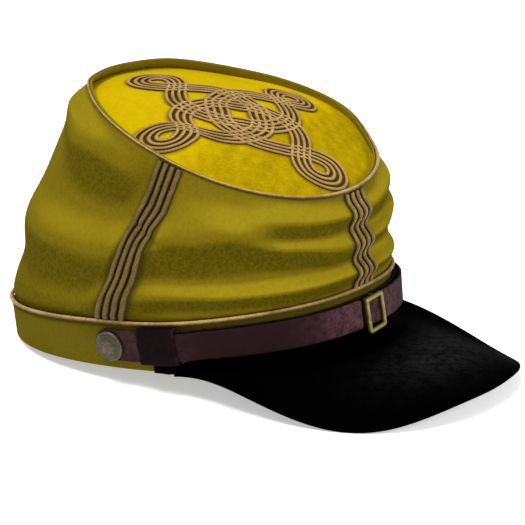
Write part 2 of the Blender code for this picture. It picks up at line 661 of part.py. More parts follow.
def strap_body(name, limit, width, middle, inner, finish, parent, round_ends):
    """A strap round the front between two angles, with half-round ends where asked."""
    angle = np.radians(np.linspace(-limit, limit, STRAP_STEPS + 1))
    half = np.full(len(angle), width / 2.0)
    if round_ends:
        turns = np.arange(STRAP_END_ROUNDING) + STRAP_END_START
        turns = turns / STRAP_END_ROUNDING * math.pi / 2.0
        pace = oval("band_top", angle[-1] + ANGLE_STEP) - oval("band_top", angle[-1] - ANGLE_STEP)
        pace = np.linalg.norm(pace) / (2.0 * ANGLE_STEP)
        past = np.sin(turns) * width / 2.0 / pace
        narrow = np.cos(turns) * width / 2.0
        angle = np.concatenate([-(angle[-1] + past[::-1]), angle, angle[-1] + past])
        half = np.concatenate([narrow[::-1], half, narrow])
    gap = inner(angle)
    corners = [strap_point(angle, middle + side * half, gap + depth)
               for side, depth in ((-1.0, 0.0), (1.0, 0.0), (1.0, STRAP_THICKNESS),
                                   (-1.0, STRAP_THICKNESS))]
    points = np.stack(corners, axis=1).reshape(-1, 3)
    return add_object(name, points, strip_faces(len(angle), 4), finish, parent)


def make_straps(parent):
    outer = strap_body("chin_strap", STRAP_BUTTON_ANGLE, STRAP_WIDTH, 0.0, strap_gap,
                       "strap_leather", parent, True)
    strap_body("chin_strap_under", UNDER_STRAP_ANGLE, UNDER_STRAP_WIDTH, UNDER_STRAP_RAISE,
               under_gap, "keeper_leather", parent, False)
    return outer


def make_keeper(parent):
    """A closed leather sleeve round both layers of the strap."""
    angle = np.radians(np.linspace(*KEEPER_ANGLES, KEEPER_STEPS))
    strap_face = strap_gap(angle) + STRAP_THICKNESS + GAP
    back = np.full(KEEPER_STEPS, GAP)
    outer_high = KEEPER_HEIGHT / 2.0
    inner_high = outer_high - KEEPER_WALL
    ring = [(-outer_high, back), (outer_high, back), (outer_high, strap_face + KEEPER_WALL),
            (-outer_high, strap_face + KEEPER_WALL)]
    bore = [(-inner_high, back + KEEPER_WALL), (inner_high, back + KEEPER_WALL),
            (inner_high, strap_face), (-inner_high, strap_face)]
    corners = [strap_point(angle, np.full(KEEPER_STEPS, height), away)
               for height, away in ring + bore]
    points = np.stack(corners, axis=1).reshape(-1, 3)
    faces = []
    sides = len(ring)
    last = (KEEPER_STEPS - 1) * 2 * sides
    for side in range(sides):
        across = (side + 1) % sides
        for step in range(KEEPER_STEPS - 1):
            for first in (step * 2 * sides, step * 2 * sides + sides):
                faces.append((first + side, first + across, first + 2 * sides + across,
                              first + 2 * sides + side))
        for end in (0, last):
            faces.append((end + side, end + across, end + sides + across, end + sides + side))
    return add_object("strap_keeper", points, faces, "keeper_leather", parent)


def make_buckle(parent):
    """A plain frame over the strap, held by a bar between the strap's two layers."""
    zero = np.zeros(1)
    face = strap_gap(zero) + STRAP_THICKNESS
    origin = strap_point(zero, zero, face)[0]
    raised = strap_point(zero, zero + 1.0, face)[0] - origin
    up = raised / np.linalg.norm(raised)
    across = np.array([1.0, 0.0, 0.0])
    out = np.cross(across, up)
    back = -(STRAP_THICKNESS + GAP + BUCKLE_BACK_CLEAR)
    x_cuts = (-BUCKLE_WIDTH / 2, -BUCKLE_WIDTH / 2 + BUCKLE_BAR, -BUCKLE_BACK_HALF,
              BUCKLE_BACK_HALF, BUCKLE_WIDTH / 2 - BUCKLE_BAR, BUCKLE_WIDTH / 2)
    slot = STRAP_WIDTH / 2 + 2.0 * GAP
    z_cuts = (-BUCKLE_HEIGHT / 2, -slot - BUCKLE_LEG, -slot, slot, slot + BUCKLE_LEG,
              BUCKLE_HEIGHT / 2)
    y_cuts = (back - BUCKLE_BACK_BAR, back, BUCKLE_CLEAR, BUCKLE_CLEAR + BUCKLE_DEPTH)

    def filled(i, j, k):
        if not (0 <= i < 5 and 0 <= j < 3 and 0 <= k < 5):
            return False
        if j == 2:
            return i in (0, 4) or k != 2
        return i == 2 and k in ((1, 2, 3) if j == 0 else (1, 3))

    number = {}
    points = []
    faces = []

    def corner(i, j, k):
        if (i, j, k) not in number:
            number[(i, j, k)] = len(points)
            points.append(origin + across * x_cuts[i] + out * y_cuts[j] + up * z_cuts[k])
        return number[(i, j, k)]

    steps = ((1, 0, 0), (-1, 0, 0), (0, 1, 0), (0, -1, 0), (0, 0, 1), (0, 0, -1))
    for i in range(5):
        for j in range(3):
            for k in range(5):
                if not filled(i, j, k):
                    continue
                for di, dj, dk in steps:
                    if filled(i + di, j + dj, k + dk):
                        continue
                    axis = (di, dj, dk).index(di + dj + dk)
                    side = 1 if di + dj + dk > 0 else 0
                    ring = []
                    for a, b in ((0, 0), (1, 0), (1, 1), (0, 1)):
                        place = [a, b]
                        place.insert(axis, side)
                        ring.append(corner(i + place[0], j + place[1], k + place[2]))
                    faces.append(tuple(ring))
    return add_object("buckle", points, faces, "old_brass", parent)


def button_axis(side):
    """Seat of a button on the strap's outer face, and the way out of the cap there."""
    angle = np.array([side * math.radians(STRAP_BUTTON_ANGLE)])
    face = strap_gap(angle) + STRAP_THICKNESS
    drop = np.full(1, -BUTTON_DROP)
    seat = strap_point(angle, drop, face)[0]
    base = strap_point(angle, drop, np.zeros(1))[0]
    high = strap_point(angle, drop + 1.0, face)[0]
    out = np.cross(np.cross(high - seat, seat - base), high - seat)
    return seat, out / np.linalg.norm(out)


def turned(profile, sides, seat, out):
    """A solid turned round an axis: profile rows are radius and height above the seat."""
    across = np.cross(out, [0.0, 0.0, 1.0])
    across /= np.linalg.norm(across)
    up = np.cross(across, out)
    points = [seat + out * profile[0][1]]
    for radius, height in profile[1:-1]:
        for turn in np.arange(sides) * 2.0 * math.pi / sides:
            points.append(seat + out * height
                          + radius * (math.cos(turn) * across + math.sin(turn) * up))
    points.append(seat + out * profile[-1][1])
    faces = []
    rows = len(profile) - 2
    for index in range(sides):
        across_index = (index + 1) % sides
        faces.append((0, 1 + index, 1 + across_index))
        for row in range(rows - 1):
            low = 1 + row * sides
            faces.append((low + index, low + across_index,
                          low + sides + across_index, low + sides + index))
        last = 1 + (rows - 1) * sides
        faces.append((last + index, last + across_index, len(points) - 1))
    return points, faces


def make_buttons(parent):
    """Domed buttons with a raised rim and a plain ring, each on a post through the band."""
    post = -(STRAP_THICKNESS + GAP + BAND_FELT + SHANK_PAST_BAND)
    profile = [(0.0, post), (SHANK_RADIUS, post), (SHANK_RADIUS, GAP)]
    profile += [(BUTTON_RADIUS * share, GAP + height) for share, height in BUTTON_PROFILE]
    profile.append((0.0, GAP + BUTTON_HEIGHT))
    for name, side in (("button_right", 1.0), ("button_left", -1.0)):
        seat, out = button_axis(side)
        points, faces = turned(profile, BUTTON_SIDES, seat, out)
        add_object(name, points, faces, "old_brass", parent, BUTTON_SMOOTH_ANGLE)


def drill(target, side, parent):
    """A round hole for a button's post, cut through strap or band."""
    seat, out = button_axis(side)
    start, end = SHANK_HOLE_REACH
    profile = ((0.0, start), (SHANK_HOLE_RADIUS, start), (SHANK_HOLE_RADIUS, end), (0.0, end))
    points, faces = turned(profile, SHANK_SIDES, seat, out)
    cutter = add_object(f"cutter_{target.name}_{side:+.0f}", points, faces, "old_brass", parent)
    cutter.hide_render = True
    cutter.display_type = "WIRE"
    cut = target.modifiers.new(f"post_hole_{side:+.0f}", "BOOLEAN")
    cut.operation = "DIFFERENCE"
    cut.solver = "EXACT"
    cut.object = cutter


# ---------------------------------------------------------------- how the cap rests
def world_points(parent):
    bpy.context.view_layer.update()
    spots = []
    for made in parent.children:
        if not made.hide_render:
            spots += [made.matrix_world @ vertex.co for vertex in made.data.vertices]
    return np.array(spots)


def lean_to_rest(parent, band, visor):
    """Lean the cap back until the peak's corners and the back of the band reach one floor."""
    back = np.array([vertex.co for vertex in band.data.vertices])
    blade = np.array([vertex.co for vertex in visor.data.vertices])

    def lowest(points, lean):
        return float((points[:, 2] * math.cos(lean) - points[:, 1] * math.sin(lean)).min())

    low, high = 0.0, math.radians(LEAN_LIMIT)
    for _ in range(50):
        lean = (low + high) / 2.0
        if lowest(blade, lean) < lowest(back, lean):
            low = lean
        else:
            high = lean
    parent.rotation_euler = (-lean, 0.0, 0.0)
    spots = world_points(parent)
    middle = (spots.min(axis=0) + spots.max(axis=0)) / 2.0
    parent.location = (-middle[0], -middle[1], -spots[:, 2].min())


def main():
    for old in list(bpy.data.objects):
        bpy.data.objects.remove(old, do_unlink=True)
    cap = bpy.data.objects.new("cap", None)
    bpy.context.scene.collection.objects.link(cap)
    band = make_band(cap)
    make_crown_side(cap)
    make_crown_top(cap)
    make_cords(cap)
    make_braid_strips(cap)
    make_knot(cap)
    visor = make_visor(cap)
    strap = make_straps(cap)
    make_keeper(cap)
    make_buckle(cap)
    make_buttons(cap)
    for side in (1.0, -1.0):
        drill(band, side, cap)
        drill(strap, side, cap)
    lean_to_rest(cap, band, visor)


main()
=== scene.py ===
"""Looks of the kepi cap: felt, braid, cords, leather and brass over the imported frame.

Sizes are in mm in the cap's own frame: +Z up, its front at -Y, the wearer's left at +X. Angles
round the cap are 0 in front and grow toward the wearer's right; tables give them in degrees.
A level is 0 at the foot and 1 at the top of the band or of the crown wall.
"""

import math
from types import SimpleNamespace as Sizes

import bmesh
import bpy
import numpy as np
from mathutils import Matrix
from mathutils.kdtree import KDTree


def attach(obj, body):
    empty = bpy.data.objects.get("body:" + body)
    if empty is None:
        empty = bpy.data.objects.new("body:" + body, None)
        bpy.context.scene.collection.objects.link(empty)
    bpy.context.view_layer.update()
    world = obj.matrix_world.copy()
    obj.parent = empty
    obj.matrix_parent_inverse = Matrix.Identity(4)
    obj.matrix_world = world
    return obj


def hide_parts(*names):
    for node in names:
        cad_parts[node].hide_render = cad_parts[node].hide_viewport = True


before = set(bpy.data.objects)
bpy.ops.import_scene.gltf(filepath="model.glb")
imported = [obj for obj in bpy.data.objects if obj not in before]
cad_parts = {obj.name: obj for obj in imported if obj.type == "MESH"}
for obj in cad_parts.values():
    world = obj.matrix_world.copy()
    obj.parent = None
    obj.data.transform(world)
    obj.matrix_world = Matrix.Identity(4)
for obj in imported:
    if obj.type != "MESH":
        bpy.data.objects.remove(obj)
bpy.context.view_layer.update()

MM = 0.001
PI = math.pi
UPRIGHT = np.array([0.0, 0.0, 1.0])


def named(columns, rows):
    """A short table: each row under its name, its values under the names of the columns."""
    return {name: Sizes(**dict(zip(columns.split(), row))) for name, row in rows.items()}


# ---------------------------------------------------------------- sizes of the model (mm)
LEAN = math.radians(4.649)                # the cap is tipped back, onto its band and its peak
PLACE = np.array([-0.02, 37.83, 8.24])
GAP = 0.3
FELT = 2.2
BAND_FELT = 2.6
TOP_FELT = 2.0
OVALS = named("half_length half_width egg power y z pitch side_rise", {
    "band_foot": (99.7, 82.5, -0.02, 2.26, 2.0, 0.0, 0.0, 0.0),
    "band_top": (103.0, 86.4, 0.01, 2.26, 0.0, 25.7, -3.7, 0.0),
    "rim": (78.4, 72.3, 0.17, 2.01, -24.2, 109.0, 19.9, 5.6),
})
BAND = ("band_foot", "band_top")          # the ovals at the foot and the top of each wall
WALL = ("band_top", "rim")
BAND_CORD_RADIUS = 1.3
RIM_CORD_RADIUS = 1.1
SEAT_FADE = 0.05                          # the walls draw in under the band cord: in levels
BAND_SEAT_FADE = 0.12
WALL_BELOW_RIM = 1.5
TOP_BELOW_RIM = 6.0
TOP_SEAM = -0.15                          # here the felt of the top is sewn to the wall
# The folds round the wall: angle, and there the ridge's level, its height and its half width.
RIDGES = {
    "upper": ((-150, 0.92, 3.7, 0.08), (-110, 0.84, 3.2, 0.10), (-84, 0.80, -0.8, 0.09),
              (-60, 0.80, 3.0, 0.10), (-35, 0.81, 5.0, 0.11), (0, 0.765, 4.2, 0.095),
              (30, 0.77, 4.4, 0.11), (52, 0.72, 2.6, 0.12), (70, 0.74, 1.0, 0.11),
              (84, 0.80, -0.8, 0.09), (100, 0.82, 3.0, 0.10), (120, 0.85, 3.4, 0.09),
              (150, 0.92, 3.7, 0.08)),
    "middle": ((-150, 0.40, 6.0, 0.14), (-110, 0.38, 5.6, 0.15), (-84, 0.40, 7.4, 0.17),
               (-60, 0.58, 4.6, 0.12), (-35, 0.565, 4.8, 0.11), (-12, 0.485, 4.0, 0.08),
               (0, 0.475, 4.1, 0.10), (10, 0.46, 4.2, 0.13), (30, 0.52, 4.2, 0.10),
               (50, 0.60, 4.6, 0.12), (68, 0.56, 5.0, 0.15), (84, 0.40, 7.4, 0.17),
               (100, 0.38, 6.0, 0.15), (120, 0.38, 5.6, 0.14), (150, 0.40, 6.0, 0.14)),
    "lower": ((-150, 0.12, 1.7, 0.09), (-110, 0.08, 1.4, 0.07), (-84, 0.16, 4.5, 0.10),
              (-60, 0.18, 2.4, 0.07), (-35, 0.185, 2.2, 0.06), (0, 0.19, 4.2, 0.08),
              (30, 0.17, 3.8, 0.08), (50, 0.17, 3.2, 0.07), (68, 0.18, 3.0, 0.07),
              (84, 0.16, 4.5, 0.10), (100, 0.08, 1.6, 0.07), (150, 0.12, 1.7, 0.09)),
    "rear": ((-170, 0.66, 5.2, 0.32), (-130, 0.66, 4.8, 0.32), (-98, 0.66, 0.0, 0.32),
             (98, 0.66, 0.0, 0.32), (130, 0.66, 4.8, 0.32), (170, 0.66, 5.2, 0.32)),
}
FOLDS_FADE_FOOT = 0.05
FOLDS_FADE_RIM = 0.09
TOP_CROWN = 9.7
TOP_POWER = 2.2
BRAID_SETS = named("angle_low angle_high width_low width_high", {
    "front": (0.4, -1.6, 17.4, 17.4),
    "right": (87.1, 76.5, 17.8, 15.6),
    "left": (-87.1, -76.5, 17.8, 15.6),
    "back": (180.0, 180.0, 17.8, 15.6),
})
SET_FROM = 0.022                          # the part of the way up at which a set starts
STRANDS = 4
STRAND_SHARE = 0.196
# One eighth of the knot's middle line from the tip of a loop to the diagonal between two arms:
# how far out, how far aside, and half the width of the four cords there.
KNOT_EIGHTH = {
    "loop_tip": (65.0, 0.0, 6.2),
    "loop_shoulder": (62.0, 7.0, 6.3),
    "loop_side": (55.0, 10.0, 6.4),
    "loop_heel": (47.4, 6.6, 6.0),
    "crossing": (41.4, 0.0, 5.6),
    "leg": (35.0, -8.8, 5.8),
    "bow": (28.0, -15.4, 5.9),
    "side": (19.5, -18.8, 6.2),
    "side_low": (11.0, -19.0, 6.2),
    "turn": (3.0, -17.0, 6.3),
    "corner": (-3.0, -13.2, 6.4),
    "diagonal": (-8.0, -8.0, 6.6),
}
KNOT_SIZE = 0.965
KNOT_CENTRE = (-1.2, 5.4)
KNOT_SKEW = 0.035
KNOT_BOW = 0.0020
# How each arm of the hand-laid knot differs: the way it points (left, front), how far its loop
# is shifted to the left and to the front, and how wide it is spread.
KNOT_ARMS = named("left front shift_left shift_front spread", {
    "right": (-1.0, 0.0, 2.4, -1.6, 0.84),
    "back": (0.0, -1.0, 2.6, 0.0, 1.0),
    "left": (1.0, 0.0, 0.4, 0.4, 1.0),
    "front": (0.0, 1.0, -0.2, -0.4, 1.0),
})
KNOT_ARM_FROM = 34.0
KNOT_ARM_FADE = 18.0
KNOT_STRAND_SHARE = 0.265                 # half a cord's width against the cords' pitch
KNOT_SPREAD = (STRANDS - 1) / 2.0 + KNOT_STRAND_SHARE
KNOT_CLIMB = 0.36                         # how far a cord rises or dips where two cross
KNOT_CORD = Sizes(lift=0.72, half=0.52, chevron=0.03, pace=0.9)
# The dark strip under a cord, which paints the shade between the cords: how far aside it reaches
# against the pitch, on the knot's outer sides and on the others, and its lift off the felt below,
# at its edge and in its middle.
KNOT_SHADE_STRIP = Sizes(outer=0.16, inner=0.52, below=-0.25, edge=0.14, middle=0.17)
# The near-black strip under a set, which paints the shade between and beside its ribs:
# half its width against the set's, its lift, and its two sunk edges.
SET_SHADE_STRIP = Sizes(half=0.44, lift=0.34, edge=0.46, edge_lift=-0.3, below=-0.8)
# A rib: its foot and rise off the wall, its chevron weave and pace, its streaks, and how much
# darker the side sets' ribs are painted, as painted shade.
RIB = Sizes(foot=0.25, rise=1.05, chevron=0.05, pace=1.1, streak=0.10, side_dark=0.28)
# How many points go round or along each piece.
STEPS = Sizes(band=400, crown=560, top=480, band_cord=900, rim_cord=760, braid=280, peak=241,
              strap=260, under_strap=300, button=96)
PEAK = Sizes(
    half_width=74.9, power=2.14, start=21.0, reach=156.9, widen=0.527, fullness=1.17, lift=0.297,
    sag=0.004, arch=41.8, arch_power=2.59, even=0.65, camber=0.5, thick=2.2, clear=0.5,
    seam_z=1.4, flange=(19.9, 22.1), flange_turn=(61.8, 64.3), tail_z=-0.5, tail_angle=72.5,
    tail_reach=8.0, tail_span=12.0, tail_drop=(1.0, 2.8))
STRAP = Sizes(
    width=15.2, thick=1.6, rounding=0.55, shift=-0.4, below_cord=11.4, button_angle=86.8,
    end_widens=0.14, lean=12.0, standoff=6.9, parting=1.2, double_angle=77.5, double_span=12.0,
    free_angle=64.0, free_span=42.0, long_from=6.9, short_from=3.6, end_round=1.2,
    widens_start=68.0, widens_span=14.0)
UNDER_STRAP = Sizes(angle=65.5, width=14.4, shift=1.0)
KEEPER = Sizes(angles=(64.9, 76.5), skew=math.radians(0.05), height=20.0, wall=1.3, fade=9.0,
               rounding=1.5, lip=0.35, worn=0.9, sag=0.25)
BUCKLE = Sizes(
    width=15.8, height=19.0, bar=2.3, depth=1.8, rounding=1.1, clear=0.45, drop=1.8,
    turn=math.radians(4.0), legs=(7.45, -9.9), back_half=1.3, back_bar=0.8, back_clear=0.1)
BUTTON = Sizes(angle=86.4, drop=0.8, radius=8.15, shank=1.6, edge=0.9, dome=1.9)

# ---------------------------------------------------------------- details of the looks only
# Painted light and shade on the felt, on both sides and in front, where the sides differ: angle,
# level, half widths of both, and how much lighter (+) or darker (-) the felt is painted there.
TONE_COLUMNS = "angle level angle_half level_half amount"
SIDE_TONES = named(TONE_COLUMNS, {
    "hollow_behind_braid": (104.0, 0.75, 22.0, 0.14, -0.55),
    "hollow_before_braid": (66.0, 0.36, 18.0, 0.09, -0.30),
    "low_back": (128.0, 0.22, 26.0, 0.16, -0.30),
    "low_side": (100.0, 0.14, 22.0, 0.10, -0.20),
    "bulge_back": (121.0, 0.49, 16.0, 0.12, 0.18),
    "under_middle_fold": (48.0, 0.42, 34.0, 0.08, -0.42),
    "under_upper_fold": (28.0, 0.645, 22.0, 0.045, -0.48),
    "rear_side": (126.0, 0.50, 38.0, 0.60, -0.06),
    "middle_ridge": (40.0, 0.50, 20.0, 0.05, -0.40),
})
FRONT_TONES = named(TONE_COLUMNS, {
    "shine": (-14.0, 0.26, 14.0, 0.16, 0.55),
    "middle": (-14.0, 0.50, 12.0, 0.10, 0.25),
    "upper": (-12.0, 0.88, 16.0, 0.10, -0.42),
})
# Where the braid on each side is nipped by a sharp crease: its level, how it climbs to the rear
# per degree, its depth and half width, the angle in its middle and half its length.
CREASE = Sizes(level=0.565, climb=0.008, depth=2.1, half=0.035, angle=81.0, reach=11.0)
# The side sets narrow and widen a little on their way up, and bend to the front: levels, widths
# against the plain ones, and degrees.
SET_LEVELS = (0.0, 0.12, 0.30, 0.42, 0.52, 0.62, 0.72, 1.0)
SET_SPREADS = (1.05, 1.03, 0.88, 0.84, 0.90, 0.96, 1.02, 0.91)
SET_BENDS = (-0.3, 0.0, 0.0, 0.0, -0.8, -0.8, 0.2, 0.0)
# Right under the rim the rear of the wall stands out once more.
RIM_BULGE = Sizes(angle=160.0, level=0.955, angle_half=24.0, level_half=0.028, push=0.4)
# The rim and the band's top as wear has pressed them: angle, half the width of the place in
# degrees, and how far it moves out and up.
WEAR_COLUMNS = "angle half out up"
WEAR = {
    "rim": named(WEAR_COLUMNS, {
        "front_left": (-50.0, 13.0, -1.5, 0.0),
        "corner": (-76.0, 16.0, 1.0, 0.6),
        "left": (-98.0, 15.0, 0.6, 0.0),
        "far_dip": (-116.0, 13.0, 0.0, -0.4),
        "far_rear": (-147.0, 13.0, 0.0, 0.8),
        "rear": (151.0, 11.0, 1.0, 0.9),
    }),
    "band_top": named(WEAR_COLUMNS, {"side": (70.0, 20.0, 0.0, -1.2)}),
    "band_foot": {},
}
# The top is a little uneven where the knot's right arm lies.
TOP_SWELLS = named("left front half_left half_front rise", {
    "inner": (-44.0, 2.0, 10.0, 18.0, 2.2),
    "outer": (-66.0, 4.0, 9.0, 18.0, -1.5),
})
# The felt of the top is turned up to the wall at its seam, most on the wearer's left: angle and
# rise, and the part of the top's radius from which it turns up.
COLLAR_RISES = ((-180.0, 0.4), (-150.0, 1.0), (-125.0, 1.6), (-105.0, 2.6), (-88.0, 3.1),
                (-62.0, 3.1), (-44.0, 2.0), (-24.0, 0.4), (0.0, 0.0), (130.0, 0.0), (180.0, 0.4))
COLLAR_FROM = 0.915
# The rim's cord is thick in front and thin behind: angle and part of its full radius.
RIM_CORD_SHARES = ((-180.0, 0.52), (-75.0, 0.55), (-50.0, 0.72), (-34.0, 1.0), (-15.0, 1.02),
                   (20.0, 0.98), (45.0, 0.74), (65.0, 0.58), (110.0, 0.50), (180.0, 0.52))
# The groove that the rim cord lies in, in parts of its radius, and the felt lip inside it, in
# mm, round to the wall's inner face: how far in from the rim's line and how far above it.
RIM_GROOVE = ((0.30, -0.97), (0.77, -0.64), (0.97, -0.20), (1.06, 0.24))
RIM_GROOVE_CLEAR = 0.12
RIM_LIP = ((1.55, 0.66), (1.85, 0.74), (2.10, 0.55), (2.20, 0.05), (2.22, -0.70))
LIP_RISES = (0.3, 1.8)                    # the lip's height on the near side, and more far off
LIP_FAR_ANGLE = -110.0
# A piping cord is slightly uneven: waves round the cap, and their part of its radius.
PIPING_WAVES = ((7, 0.02), (19, 0.015), (61, 0.02), (143, 0.015))
# Painted shade on the felt: how much at most, from which level and over how many it sets in at the
# rim, the foot and the band's top, and how much and how far in mm beside the braid.
EDGE_SHADE = Sizes(most=0.55, rim=0.975, rim_span=0.02, foot=0.045, foot_span=0.04, band=0.80,
             band_span=0.20, beside_braid=0.75, reach=1.7)
# Tone and painted shade of the crown's felt where it is the same all round: painted light on the
# groove under the rim's cord and on the lip, some painted shade in the groove, and a darker tone
# with a little painted shade inside.
CROWN_MARKS = {"groove": (0.70, 0.20), "lip": (0.85, 0.0), "inside": (0.3, 0.1)}
# The top: its tone at the rear, and how far it is painted darker toward the front and where, as
# painted shade;
# a painted shadow round the knot (how much, from how many mm beside a cord, and its reach) and
# painted shade along the seam.
TOP_TONE = Sizes(rear=0.54, fall=0.40, start=-15.0, span=55.0, uneven=0.07, halo=0.60,
                 halo_from=0.8, halo_reach=1.25, seam=0.30, seam_from=0.965, seam_span=0.035)
# The strap's dark: how much, from how many degrees off its middle and over how many, and how
# much less of it there is toward the buttons.
STRAP_SHADE = Sizes(most=0.96, start=12.0, span=24.0, less=0.45, less_start=56.0, less_span=20.0)
# What stands on a button's dome: rings (part of its radius, half width, height in mm) and a
# rosette, whose petals reach from its start to the short reach between them and on to their tips.
BUTTON_RINGS = {"rim": (0.93, 0.045, 0.34), "ring": (0.74, 0.025, 0.16), "boss": (0.0, 0.10, 0.42)}
ROSETTE = Sizes(petals=8, start=0.13, short=0.30, tips=0.28, height=0.34, vein=0.45)
# Where a soft grey highlight is painted on the peak's black: turn round its blade and part of its
# reach, and half the size of both.
PEAK_HIGHLIGHT = Sizes(turn=-0.28, part=0.50, turn_half=0.50, part_half=0.27)
# The camera as the photo has it, against the cap's own frame: turn, rise and roll in degrees,
# distance, where it looks (right, up, and height above the band's foot), and focal length and
# picture width in pixels.
CAMERA = Sizes(turn=-54.4189, rise=14.9994, roll=-3.4199, distance=1500.58, right=33.176,
               up=-17.441, height=50.0, focal=2856.84, pixels=525.0, film=36.0)
# Soft lights: place to the right of, above and toward the camera from the cap and size, in
# metres, and power.
LIGHTS = {"key": ((-0.9, 2.8, 0.9), 1.4, 103.0), "fill": ((1.9, 0.9, 1.0), 1.2, 33.0)}
LIGHT_AIM = 0.08                          # height at which they look, in metres
FLOOR_HALF = 6.0
FLOOR_GLOW = 0.45
WORLD_GLOW = 0.46


# ---------------------------------------------------------------- curves and surfaces
def smooth_step(x):
    x = np.clip(x, 0.0, 1.0)
    return x * x * (3.0 - 2.0 * x)


def bell(*offsets):
    """A smooth bump: 1 where every offset is 0, and next to nothing from 2 on."""
    return np.exp(-sum(offset ** 2 for offset in offsets))


def unit(vectors):
    return vectors / np.linalg.norm(vectors, axis=-1, keepdims=True)


def circle(count):
    return np.arange(count) * 2.0 * PI / count


def run_along(points):
    """How far along a line each of its points is."""
    return np.concatenate([[0.0], np.cumsum(np.linalg.norm(np.diff(points, axis=0), axis=1))])


def closed_along(line):
    """The way that a closed line runs at each of its points."""
    return unit(np.roll(line, -1, axis=0) - np.roll(line, 1, axis=0))


def plan_side(path):
    """The way to the side of a closed line in plan."""
    along = closed_along(path)
    return np.stack([-along[:, 1], along[:, 0]], axis=1)


def plan_cross(a, b):
    return a[..., 0] * b[..., 1] - a[..., 1] * b[..., 0]


def turn_apart(angle, middle=0.0):
    """Degrees between angles in radians and one in degrees, the short way round."""
    return (np.degrees(angle) - middle + 180.0) % 360.0 - 180.0


def soft_waves(a, b, seed, count, low, high):
    """A smooth, repeatable unevenness over two coordinates: sines at mixed angles."""
    source = np.random.RandomState(seed)
    total = np.zeros(np.broadcast(a, b).shape)
    for _ in range(count):
        pace = source.uniform(low, high)
        heading = source.uniform(0.0, PI)
        phase = source.uniform(0.0, 2.0 * PI)
        total = total + np.sin(pace * (math.cos(heading) * a + math.sin(heading) * b) + phase)
    return total / math.sqrt(count)


def oval(name, angle):
    """A line round the cap, moved out and up where it is worn."""
    size = OVALS[name]
    c, s = np.cos(angle), np.sin(angle)
    reach = (np.abs(c) ** size.power + np.abs(s) ** size.power) ** (-1.0 / size.power)
    c, s = c * reach, s * reach
    out = up = 0.0
    for wear in WEAR[name].values():
        near = bell(turn_apart(angle, wear.angle) / wear.half)
        out, up = out + wear.out * near, up + wear.up * near
    pitch = math.radians(size.pitch)
    grow = 1.0 + out / size.half_width
    x = -size.half_width * s * (1.0 + size.egg * c)
    y = -size.half_length * c
    z = size.z + y * math.sin(pitch) + size.side_rise * s * s + up
    return np.stack([x * grow, size.y + y * grow * math.cos(pitch), z], axis=-1)


def between(ovals, angle, level):
    level = np.asarray(level)[..., None]
    return oval(ovals[0], angle) * (1.0 - level) + oval(ovals[1], angle) * level


def outward(ovals, angle, level):
    step = 0.01
    along = between(ovals, angle + step, level) - between(ovals, angle - step, level)
    return unit(np.stack([-along[..., 1], along[..., 0], 0.0 * along[..., 0]], axis=-1))


def ridge_values(stations, turn):
    """A fold's level, height and half width at angles between its stations."""
    first = stations[0]
    table = np.array(stations + ((first[0] + 360.0, *first[1:]),))
    turn = (turn - first[0]) % 360.0 + first[0]
    index = np.clip(np.searchsorted(table[:, 0], turn, side="right") - 1, 0, len(stations) - 1)
    before, after = table[index], table[index + 1]
    share = smooth_step((turn - before[..., 0]) / (after[..., 0] - before[..., 0]))[..., None]
    return np.moveaxis(before[..., 1:] * (1.0 - share) + after[..., 1:] * share, -1, 0)


def fold_push(angle, level):
    """How far the folds push the wall out."""
    turn = np.degrees(angle)
    push = np.zeros(np.broadcast(turn, level).shape)
    for stations in RIDGES.values():
        middle, height, half = ridge_values(stations, turn)
        push = push + height * bell((level - middle) / half)
    return (push * smooth_step(level / FOLDS_FADE_FOOT)
            * smooth_step((1.0 - level) / FOLDS_FADE_RIM))


def foot_share(level):
    return np.clip(1.0 - level / SEAT_FADE, 0.0, 1.0)


def wall(angle, level, inset=0.0):
    """The crown wall's outer face, or a face inside it."""
    angle = np.asarray(angle, float)
    level = np.asarray(level, float)
    around = (angle + PI) % (2.0 * PI) - PI
    turn = np.abs(np.degrees(around))
    uneven = (0.22 * soft_waves(around * 95.0, level * 85.0, 4, 14, 0.05, 0.22)
              * smooth_step((PI - np.abs(around)) / 0.25)
              * smooth_step(level / 0.08) * smooth_step((1.0 - level) / 0.10))
    past = turn - CREASE.angle
    crease = CREASE.level + CREASE.climb * past
    nip = np.exp(-(past / CREASE.reach) ** 2 - np.abs(level - crease) / CREASE.half)
    bulge = bell((turn - RIM_BULGE.angle) / RIM_BULGE.angle_half,
                 (level - RIM_BULGE.level) / RIM_BULGE.level_half)
    seat = (BAND_CORD_RADIUS + GAP) * foot_share(level)
    push = (fold_push(angle, level) + uneven + bulge * RIM_BULGE.push - nip * CREASE.depth
            - seat - inset)
    return between(WALL, angle, level) + outward(WALL, angle, level) * push[..., None]


def wall_frame(angle, level):
    """A point of the wall and its outward normal."""
    step = 0.004
    around = wall(angle + step, level) - wall(angle - step, level)
    climb = wall(angle, level + step) - wall(angle, level - step)
    normal = unit(np.cross(climb, unit(around)))
    toward = outward(WALL, angle, level)
    return (wall(angle, level),
            normal * np.sign((normal * toward).sum(axis=-1, keepdims=True)))


def wall_pace(angle, level):
    """How far apart points of the wall are per radian round it."""
    step = 0.01
    apart = wall(angle + step, level) - wall(angle - step, level)
    return np.linalg.norm(apart, axis=-1) / (2.0 * step)


def wall_height(angle):
    return np.linalg.norm(oval("rim", angle) - oval("band_top", angle), axis=-1)


def level_below_rim(angle, distance):
    return 1.0 - distance / wall_height(angle)


def band_wall(angle, level, inset=0.0):
    """The band's outer face, or a face inside it."""
    angle = np.asarray(angle, float)
    level = np.asarray(level, float)
    seat = np.clip((level - 1.0) / BAND_SEAT_FADE + 1.0, 0.0, 1.0)
    seat = seat * (BAND_CORD_RADIUS + GAP) + inset
    return between(BAND, angle, level) - outward(BAND, angle, level) * seat[..., None]


